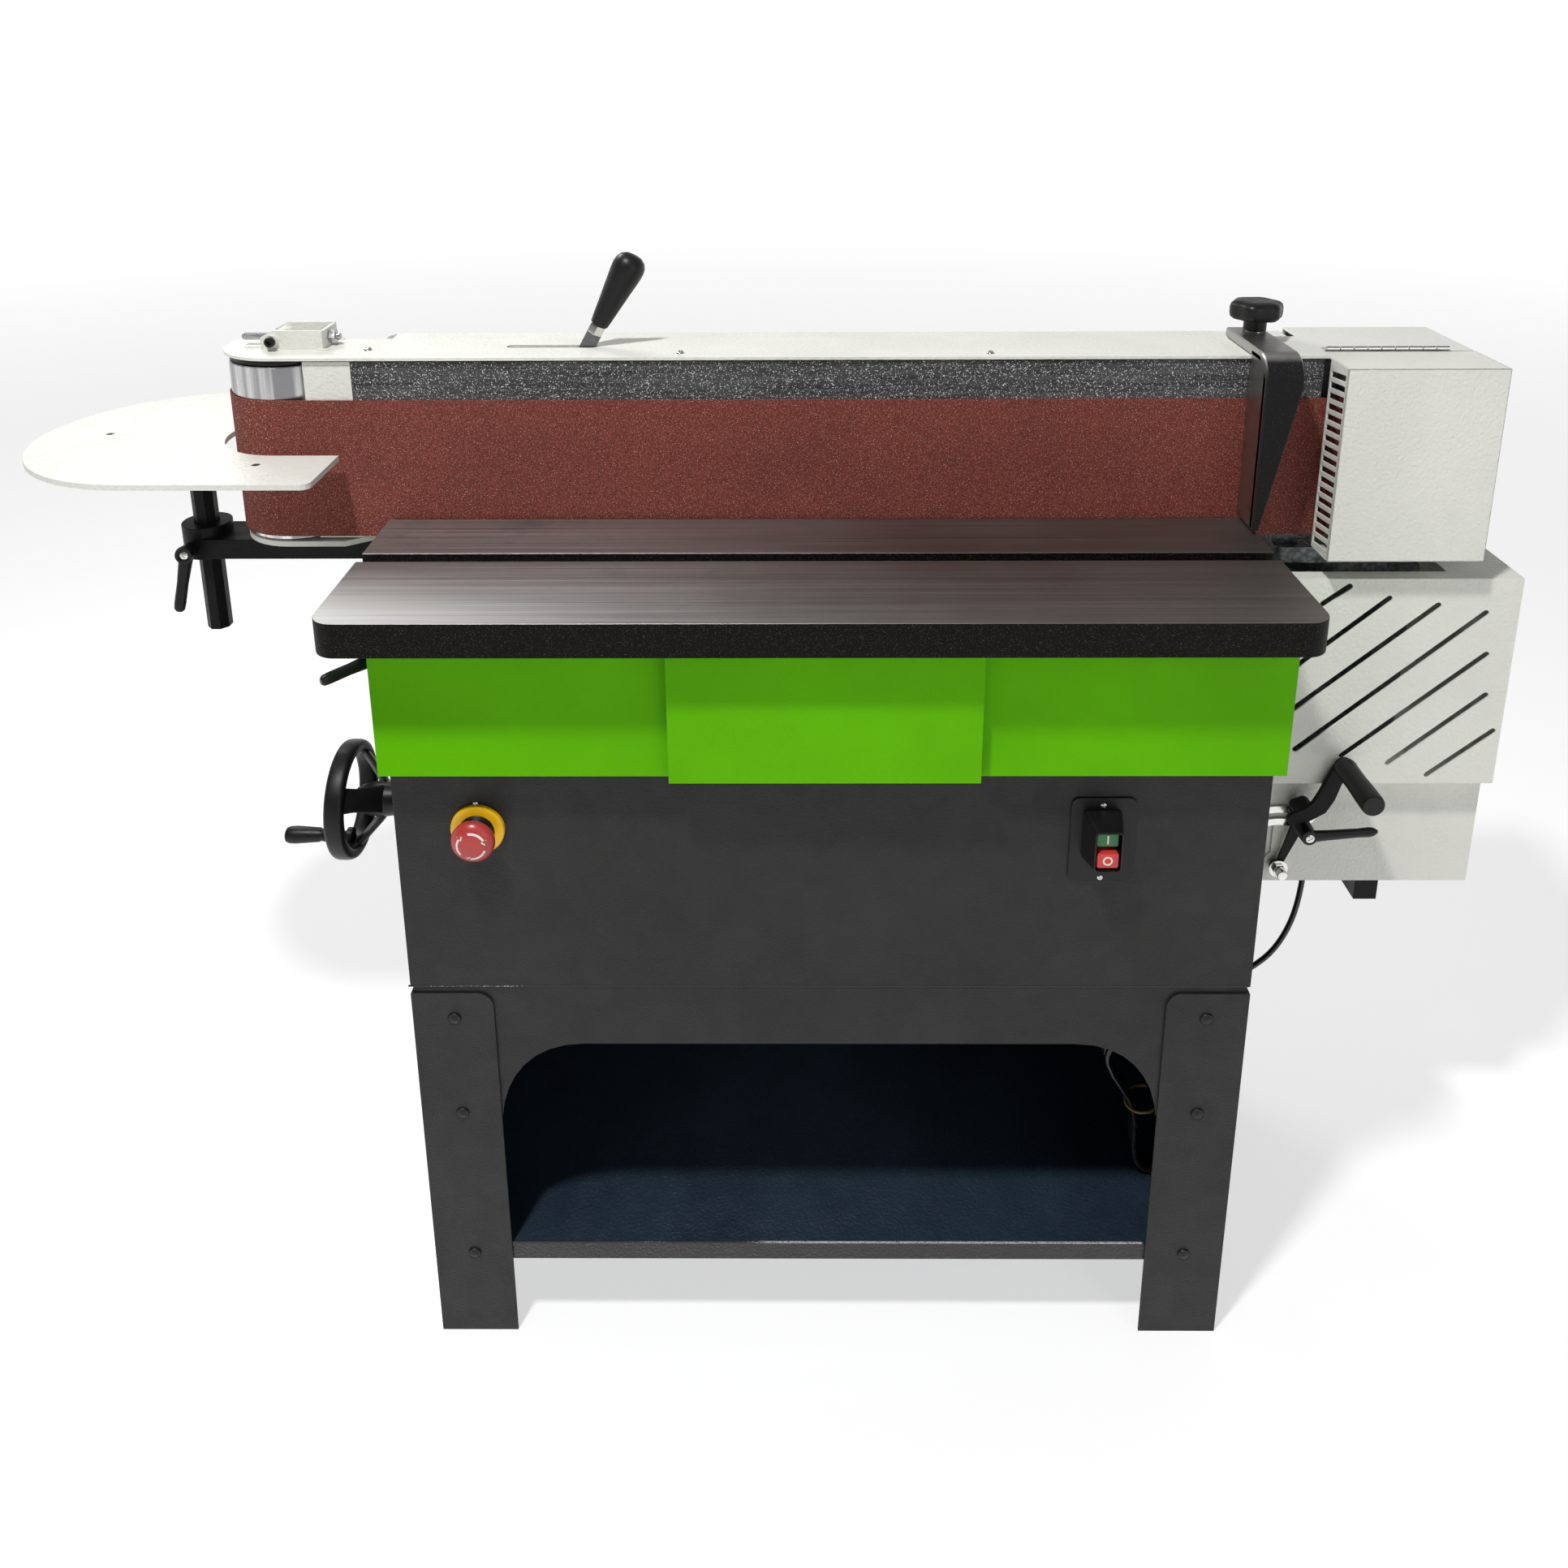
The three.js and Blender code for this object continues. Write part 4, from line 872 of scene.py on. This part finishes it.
def flat_arm(start, end, thin, profile):
    """Rings of an arm from start to end, by (share of the way, half width, half depth)."""
    run = end - start
    side = run.cross(thin).normalized()
    up = side.cross(run.normalized())
    return [ellipse(start + run * t, side, up, w, h) for t, w, h in profile]


def clamp_lever(name, node, hub, away, top, reach, tip):
    """A clamp lever: a hub with a cross screw in its end and a tapered, flattened arm with a soft tip."""
    hub, away = Vector(hub), Vector(away)
    profile = [(8.2, 0), (9.0, 1), (9.6, top - 7), (10.4, top - 3), (9.4, top)]
    profile += [(6.6, top), (6.0, top - 1.6), (0, top - 1.8)]
    form = Form().turned(profile, hub, away, 30)
    taper = (
        (0, 8, 6.5), (0.12, 7.4, 6), (0.5, 6.2, 4.8), (0.85, 6.4, 4.6), (0.96, 5.8, 4.2), (1.0, 3.6, 2.6),
    )
    form.loft(flat_arm(Vector(reach), Vector(tip), away, taper))
    form.done(name, BLACK, node, [node])
    form = Form()
    dome_screw(form, hub + away * (top - 1.9), away, 5.2, 2.0)
    form.done(name + "_screw", NICKEL, node)


def tension_lever():
    low = span("tension_lever")
    pivot = Vector((-273, (low[2] + low[3]) / 2, 1010))
    lean = Vector((math.sin(0.501), 0, math.cos(0.501)))
    end = pivot + lean * 80
    form = Form().slab(oblong(pivot.x, pivot.z, end.x, end.z, 8), "y", pivot.y - 3, pivot.y + 3, 0.7)
    hub = [(10.4, 0), (11, 0.8), (11, 27.2), (10.4, 28), (0, 28)]
    form.turned(hub, pivot - Vector((0, 14, 0)), (0, 1, 0))
    form.done("tension_lever_bar", DARK_STEEL, "tension_lever", ["tension_lever"])
    form = Form()
    hex_nut(form, pivot + lean * 77, lean, 16, 10)
    form.done("tension_lever_nut", NICKEL, "tension_lever")
    grip = [
        (0, 0), (8.6, 0), (9.6, 1), (10.6, 8), (12.6, 26), (15.0, 46), (17.0, 62), (17.5, 70), (16.6, 76),
        (13.8, 81), (9.4, 84), (4.5, 85), (0, 85),
    ]
    form = Form().turned(grip, pivot + lean * 87.5, lean, 40)
    form.done("tension_lever_grip", BLACK, "tension_lever")


def stop_knob():
    low = span("stop_knob")
    x, z1 = (low[0] + low[1]) / 2, low[5]
    lobes = []
    for u, v in circle(0, 0, 1, steps=96):
        r = 27.0 + 1.3 * math.cos(6 * math.atan2(v, u))
        lobes.append((r * u, r * v))
    levels = (
        (0.50, -20), (0.86, -20), (0.97, -17.5), (1.0, -14), (1.0, -7), (0.96, -3.6), (0.86, -1.4), (0.6, 0),
    )
    form = Form().loft([[(x + u * k, AXIS_Y + v * k, z1 + h) for u, v in lobes] for k, h in levels])
    form.turned([(11.5, 0), (12, 1), (12, 17)], (x, AXIS_Y, z1 - 33), (0, 0, 1), 30)
    form.rod((x, AXIS_Y, 1053), (x, AXIS_Y, z1 - 20), 5, sides=20)
    hex_nut(form, (x, AXIS_Y, 1053), (0, 0, 1), 15.5, 6)
    form.done("stop_knob_lobed", BLACK, "stop_knob", ["stop_knob"])


handwheel()
clamp_lever(
    "height_lock_clamp", "height_lock_lever",
    (-418.8, 120, 790), (-1, 0, 0), 27, (-438, 120, 790), (-480, 78, 786),
)
clamp_lever(
    "end_lock_clamp", "end_lock_lever",
    (-695, 290, 834), (0, -1, 0), 20, (-695, 277, 832), (-706.8, 268.5, 769),
)
tension_lever()
stop_knob()


# ---------------------------------------------------------------- stroke setting
STROKE = {"x": 530.0, "z": 461.0, "lock": (549.6, 519.8), "elbow": (545.0, 545.0), "end": (583.0, 604.0)}


def stroke_arm():
    """The arm's flat foot, its elbow and the crank that carries the grip's spindle."""
    x, z, lock, elbow, end = STROKE.values()
    form = Form().slab(oblong(x, z, *lock, 3.2, 7.5), "y", 238, 241.5, 0.8)
    form.slab(circle(x, z, 9), "y", 236.5, 241.6, 0.6)
    form.slab(oblong(*lock, elbow[0], elbow[1] - 8, 9), "y", 236, 241.9, 1.0)
    crank = [(534, 537), (549, 543), (561, 552), (568, 566), (574, 584), end]
    form.slab(ribbon(crank, (7.5, 8.5, 10, 10, 9, 9.5)), "y", 218, 224, 1.4)
    form.slab(oblong(elbow[0] - 2, elbow[1] - 2, elbow[0] + 6, elbow[1] + 1, 7), "y", 218.5, 241.8, 2.0)
    form.rod((end[0], 158, end[1]), (end[0], 226, end[1]), 4.8, sides=20)
    form.done("stroke_arm_cranked", ENAMEL, "stroke_arm", ["stroke_arm"])
    form = Form().turned([(6.6, 0), (10.6, 0), (10.6, 1.3), (6.6, 1.4)], (x, 236.4, z), (0, -1, 0), 36)
    hex_nut(form, (x, 235, z), (0, -1, 0), 13, 5, 4.2)
    form.turned([(4.2, 0), (4.2, 11), (3.2, 12.6), (0, 12.8)], (x, 234.5, z), (0, -1, 0), 24)
    form.done("stroke_pivot_nut", NICKEL, "stroke_arm")


def stroke_handles():
    """The hollow grip on the crank, and the clamp lever that locks the arm."""
    (u, v), (ex, ez) = STROKE["lock"], STROKE["end"]
    grip = [
        (8.2, 0), (10.6, 0), (12.0, 1.2), (12.5, 4), (12.4, 20), (11.6, 45), (11.8, 66), (12.2, 70),
        (11.4, 74.6), (5.6, 74.6), (5.6, 18), (8.0, 12), (8.2, 0),
    ]
    form = Form().turned(grip, (ex, 143, ez), (0, 1, 0), 48)
    form.done("stroke_grip_hollow", BLACK, "stroke_grip", ["stroke_grip"])
    hub = [(7, 0), (8.6, 0.6), (9.4, 8), (10, 27.4), (3.9, 27.6), (3.8, 41.4), (0, 41.4)]
    form = Form().turned(hub, (u, 208, v), (0, 1, 0), 30)
    taper = (
        (0, 7.5, 4.6), (0.3, 6.2, 4.2), (0.75, 5.4, 3.8), (0.93, 6.0, 4.0), (1.0, 5.0, 3.2), (1.06, 2.0, 1.4),
    )
    form.loft(flat_arm(Vector((u, 212, v)), Vector((621, 212, 526)), Vector((0, 1, 0)), taper))
    form.done("stroke_lock_clamp", BLACK, "stroke_lock_lever", ["stroke_lock_lever"])
    form = Form()
    dome_screw(form, (u, 208.2, v), (0, -1, 0), 5.4, 2.0)
    form.done("stroke_lock_screw", NICKEL, "stroke_lock_lever")


def quadrant():
    """The slotted arc that the lock runs in, and its painted foot."""
    x, z = STROKE["x"], STROKE["z"]
    back = span("quadrant_plate")[3]
    low, high, a0, a1 = 50, 74, 55.0, 135.0
    outer = circle(x, z, high, a0, a1, 40) + circle(x, z, low, a1, a0, 40)
    form = Form()
    bm = slotted(outer, oblong_arc(x, z, 58, 66, a0 + 10, a1 - 8), back - 3, back)
    form.add(bm)
    form.done("quadrant_arc", NICKEL, "base", ["quadrant_plate"])
    form = Form().block(x - 6, x + 6, back - 2.2, back, z, z + 51, 0.6)
    form.turned([(0, 0), (14, 0), (14, 2.4), (13.2, 3), (0, 3)], (x, back, z), (0, -1, 0), 40)
    form.done("quadrant_foot", WHITE, "base")
    form = Form().rod((x, 222, z), (x, back - 1, z), 5.6, sides=24)
    form.done("quadrant_stud", NICKEL, "base")


def oblong_arc(x, z, r0, r1, a0, a1):
    """A slot with round ends that follows an arc."""
    mid, half = (r0 + r1) / 2, (r1 - r0) / 2
    ends = []
    for a, turn in ((a1, 0), (a0, 180)):
        cx, cz = x + mid * math.cos(math.radians(a)), z + mid * math.sin(math.radians(a))
        ends.append(circle(cx, cz, half, a + turn, a + turn + 180, 10))
    return circle(x, z, r1, a0, a1, 28) + ends[0] + circle(x, z, r0, a1, a0, 28) + ends[1]


def slotted(outer, hole, y0, y1):
    """A plate across Y with one hole, as a mesh."""
    part = bmesh.new()
    edges = []
    for line in (outer, hole):
        spots = dict.fromkeys((round(u, 4), round(v, 4)) for u, v in line)
        verts = [part.verts.new((u, y0, v)) for u, v in spots]
        edges += [part.edges.new((verts[i], verts[(i + 1) % len(verts)])) for i in range(len(verts))]
    filled = bmesh.ops.triangle_fill(part, edges=edges, use_beauty=True, use_dissolve=False)
    faces = [f for f in filled["geom"] if isinstance(f, bmesh.types.BMFace)]
    risen = bmesh.ops.extrude_face_region(part, geom=faces)
    moved = [v for v in risen["geom"] if isinstance(v, bmesh.types.BMVert)]
    bmesh.ops.translate(part, verts=moved, vec=(0, y1 - y0, 0))
    return part


stroke_arm()
stroke_handles()
quadrant()


# ---------------------------------------------------------------- drive drum's door
def guard_door():
    """The door as folded sheet: front, top and right side whole, and louvres in its left side."""
    x0, x1, y0, y1, z0, z1 = span("guard_door")
    inner = BELT_FRONT - 4
    front, rear, pitch, count = y0 + 4.5, inner - 4, 11.4, 17
    form = Form()
    for sheet in (
        (x0, x1, y0, y0 + 2, z0, z1), (x0, x1, y0, y1, z1 - 2, z1), (x1 - 2, x1, y0, y1, z0, z1),
        (x0, x1, y0, inner - 2, z0, z0 + 2), (x0, x0 + 2, y0, front, z0, z1),
        (x0, x0 + 2, rear, inner, z0, z1),
    ):
        form.block(*sheet, 0.9, 3)
    low = (z0, z0)
    for i in range(count + 1):
        z = z0 + 11 + i * pitch
        high = (z, z - 4) if i < count else (z1, z1)
        web = [(front - 0.3, low[0]), (rear + 0.3, low[1]), (rear + 0.3, high[1]), (front - 0.3, high[0])]
        form.slab(web, "x", x0 + 0.05, x0 + 1.9, 0.5)
        low = (z + 6.2, z + 2.2)
    form.done("guard_door_folded", WHITE, "guard_door", ["guard_door"])


guard_door()


# ---------------------------------------------------------------- controls
ESTOP = {"x": -333.0, "z": 638.0, "crown": 26.0, "plate": 52.0}
DOME = [(0, 0), (6, 0.15), (11, 0.7), (15, 2.0), (18.6, 4.3)]


def estop():
    x, z = ESTOP["x"], ESTOP["z"]
    back = span("estop_body")[3]
    rim = [(16.5, 0), (24.2, 0.1), (25.8, 0.8), (26.5, 2.2), (26.5, 5.4), (0, 5.6)]
    form = Form().turned(rim, (x, ESTOP["plate"], z), (0, 1, 0), 64)
    form.done("estop_plate", YELLOW, "base", ["estop_body"])
    collar = [(9.2, 0), (14.5, 0), (17.4, 5.4), (17.4, 6), (9.2, 6)]
    form = Form().turned(collar, (x, 46.6, z), (0, 1, 0), 48)
    form.turned([(8.9, 0), (11, 0), (11, 32), (8.9, 32)], (x, back, z), (0, 1, 0))
    form.done("estop_collar", BLACK, "base")
    cap = [
        *DOME, (20.8, 7.2), (21.5, 10), (21.0, 12.4), (18, 15.4), (12, 16), (8, 16.2), (8, 52), (0, 52),
    ]
    form = Form().turned(cap, (x, ESTOP["crown"], z), (0, 1, 0), 72)
    form.done("estop_mushroom", RED, "estop_button", ["estop_button"], 50)
    form = Form()
    for start in (100, -20, -140):
        arrow(form, math.radians(start), math.radians(start - 74))
    form.done("estop_arrows", INK, "estop_button")
    form = Form()
    dome_screw(form, (-334, 57.9, 665), (0, -1, 0), 2.6, 1.5)
    for spot in ((277, 55.9, 664), (278, 55.9, 583)):
        dome_screw(form, spot, (0, -1, 0), 3.0, 1.6)
    form.done("control_screws", NICKEL, "base")


def on_dome(r, a, lift):
    """A point over the mushroom's face, at radius r and angle a from its middle."""
    for (r0, d0), (r1, d1) in zip(DOME, DOME[1:]):
        if r0 <= r <= r1:
            depth = d0 + (d1 - d0) * (r - r0) / (r1 - r0)
    return Vector((ESTOP["x"] + r * math.cos(a), ESTOP["crown"] + depth - lift, ESTOP["z"] + r * math.sin(a)))


def arrow(form, a0, a1):
    """A curved band from angle a0 to a1 that ends in a triangular head, as a thin printed layer."""
    sections = []
    for k in range(13):
        near, far = (on_dome(r, a0 + (a1 - a0) * k / 12, 0.16) for r in (12.6, 14.6))
        sections.append([near, far, far + Vector((0, 0.5, 0)), near + Vector((0, 0.5, 0))])
    form.loft(sections)
    tip = a1 - 0.02
    head = [on_dome(10.8, tip, 0.18), on_dome(16.6, tip, 0.18), on_dome(13.6, tip - 0.34, 0.18)]
    form.loft([head, [p + Vector((0, 0.6, 0)) for p in head]])


def switch():
    x0, x1, z0, z1 = 246.0, 310.0, 578.0, 672.0
    form = Form().slab(rounded(x0, x1, z0, z1, 8), "y", 55.8, 57.7, 0.8)
    form.block(263, 290, 56, 90, 601, 659, 0.8)
    form.done("switch_plate", BLACK, "base", ["switch_body"])
    form = Form()
    hood(form, 257.6, 295.4, 605.6, 659.4, 24, 56)
    form.done("switch_hood", BLACK, "base")
    for name, face, low, high, material, node in (
        ("start_key", 30, 636, 651, KEY_GREEN, "start_button"),
        ("stop_key", 26, 615, 631, KEY_RED, "stop_button"),
    ):
        form = Form().slab(rounded(266, 287, low, high, 2.2), "y", face, face + 14, 1.0, 3)
        form.block(271, 282, face + 13, 80, low + 4.5, high - 4.5, 0.4)
        form.done(name, material, node, [node])
        form = Form()
        mid = (low + high) / 2
        if node == "start_button":
            form.block(275.6, 277.4, face - 0.15, face + 0.4, mid - 4.5, mid + 4.5, 0)
        else:
            section = [(0.8, 0), (0.8, 0.4), (-0.8, 0.4), (-0.8, 0)]
            form.ring((276.5, face - 0.15, mid), (0, 1, 0), 4.0, section, 32)
        form.done(name + "_mark", INK, node)


def hood(form, x0, x1, z0, z1, front, back):
    """An open box round the keys that narrows to its rounded rim."""
    foot = rounded(x0, x1, z0, z1, 5)
    rim = rounded(x0 + 5.6, x1 - 5.6, z0 + 6, z1 - 4.6, 4.0)
    lip = rounded(x0 + 6.8, x1 - 6.8, z0 + 7.2, z1 - 5.8, 3.2)
    well = rounded(x0 + 4, x1 - 4, z0 + 4, z1 - 4, 3.0)
    outside = [(foot, back), (foot, back - 2), (rim, front + 1.0), (lip, front)]
    inside = [(lip, front + 1.6), (well, back - 3)]
    form.loft([[(px, y, pz) for px, pz in ring] for ring, y in outside + inside], cap=False)


estop()
switch()


# ---------------------------------------------------------------- tracking bracket, hinge, end table
def tracking():
    form = Form()
    lo = span("tracking_screw")
    y, z = 311.0, 1073.0
    form.rod((lo[0], y, z), (-512, y, z), 3.7, sides=20)
    for i in range(26):
        x = lo[0] + 2 + i * 1.25
        form.ring((x, y, z), (1, 0, 0), 3.7, [(0.35, 0), (0, 0.5), (-0.5, 0), (0, -0.5)], 20)
    hex_nut(form, (-523.4, y, z), (1, 0, 0), 13.2, 7)
    form.done("tracking_screw_threaded", STEEL, "tracking_screw", ["tracking_screw"])


def hinge():
    x0, x1, _, y1, z0, z1 = span("guard_hinge")
    y, z = 280.0, z1 - 2.4
    form = Form().rod((x0 + 0.5, y, z), (x1 - 0.5, y, z), 1.2, sides=12, bevel=0.2)
    count = 9
    step = (x1 - x0) / count
    for i in range(count):
        a = x0 + i * step + 0.4
        form.rod((a, y, z), (a + step - 0.8, y, z), 2.35, sides=18, bevel=0.3)
    form.block(x0, x1, y + 1.2, y1, z0 + 0.05, z0 + 1.2, 0.2)
    form.done("guard_hinge_knuckles", NICKEL, "head", ["guard_hinge"])
    form = Form()
    for x in (x0 + 22, x1 - 22):
        dome_screw(form, (x, y + 7, z0 + 1.2), (0, 0, 1), 2.8, 1.4)
    form.done("guard_hinge_screws", DARK_STEEL, "head")


def edges_and_seals():
    """Strips of painted edge highlight along the shelf's lip and the cabinet's seam, and the seal between
    drum and top plate.
    """
    lip, skin = span("shelf"), span("cabinet_shell")
    # painted highlight: thin flecked strips along the shelf's lip and the cabinet's seam
    form = Form()
    for y, z, corners, x0, x1 in (
        (lip[2], lip[5], ((-0.5, -1.1), (1.2, -1.1), (1.2, 0.5), (0.1, 0.4)), lip[0] + 82, lip[1] - 82),
        (skin[2], skin[4], ((-0.5, 0.2), (0.8, 0.1), (0.8, 1.6), (-0.2, 1.7)), skin[0] + 2, skin[1] - 2),
    ):
        form.slab([(y + u, z + v) for u, v in corners], "x", x0, x1, 0.25)
    form.done("painted_edge_highlights", EDGE, "base")
    seal = circle(IDLER_X, AXIS_Y, 61, 34, 326, 56) + circle(IDLER_X, AXIS_Y, 40, 326, 34, 56)
    Form().slab(seal, "z", 1053.6, 1059.5, 0.5).done("idler_seal", BLACK, "head")
    form = Form()
    cap_screw(form, (-578, 285.0, 1073), (0, -1, 0), 5.6, 5.5)
    cap_screw(form, (-578, 339.8, 1073), (0, 1, 0), 5.6, 4.5)
    form.done("tracking_pivot_bolts", BLACK, "head")
    form = Form()
    for x in (-583, -530):
        for y in (287.4, 334.8):
            bead(form, (x, y, 1063.4), (x + 14, y, 1063.4))
    form.done("tracking_welds", WHITE, "head")


def bead(form, start, end):
    """A short weld bead of overlapping ripples."""
    start, end = Vector(start), Vector(end)
    ripple = [start.lerp(end, i / 24) for i in range(25)]
    form.tube(ripple, lambda t: (1.7 + 0.35 * math.cos(50 * t)) * min(1.0, 6 * t + 0.3, 6.3 - 6 * t))


tracking()
hinge()
edges_and_seals()


# ---------------------------------------------------------------- floor, light, world
def studio():
    bm = bmesh.new()
    bmesh.ops.create_grid(bm, x_segments=1, y_segments=1, size=30.0)
    mesh = bpy.data.meshes.new("floor")
    bm.to_mesh(mesh)
    bm.free()
    look = Look("studio_floor", 0.14, Emission_Strength=0.58, Emission_Color=(1, 1, 1, 1))
    mesh.materials.append(look.done((0.60, 0.60, 0.60)))
    floor = bpy.data.objects.new("floor", mesh)
    bpy.context.scene.collection.objects.link(floor)
    sky()
    view = bpy.context.scene.view_settings
    view.view_transform = "Standard"
    view.look = "None"
    lamp("key", (-0.70, -1.27, 3.6), (0.0, 0.0, 0.8), 0.26, 84.0)
    lamp("fill", (2.2, -2.8, 2.0), (0.0, 0.0, 0.8), 2.0, 16.0)
    lamp("glare", (-1.5, 1.7, 2.7), (-0.1, 0.0, 0.9), 1.0, 26.0)
    lamp("bay", (0.0, -0.12, 0.37), (0.0, 0.2, 0.24), 0.3, 0.16)


def sky():
    """A white backdrop behind the machine that fades overhead, and a dimmer room in front of it."""
    world = bpy.data.worlds.new("studio")
    world.use_nodes = True
    tree = Tree(world.node_tree)
    ahead = tree.split(tree.node("ShaderNodeTexCoord").outputs["Generated"])
    level = tree.band(ahead["Z"], 0.10, 0.35, 1.02, 0.30, "LINEAR")
    room = tree.band(ahead["Y"], -0.35, 0.25, 0.34, 1.0, "LINEAR")
    background = world.node_tree.nodes["Background"].inputs
    background["Color"].default_value = (1, 1, 1, 1)
    tree.put(background["Strength"], tree.math("MULTIPLY", level, room))
    bpy.context.scene.world = world


def lamp(name, place, target, size, power):
    data = bpy.data.lights.new(name, "AREA")
    data.shape = "DISK"
    data.size = size
    data.energy = power
    obj = bpy.data.objects.new(name, data)
    obj.location = place
    aim = Vector(target) - Vector(place)
    obj.rotation_euler = aim.to_track_quat("-Z", "Y").to_euler()
    bpy.context.scene.collection.objects.link(obj)


studio()
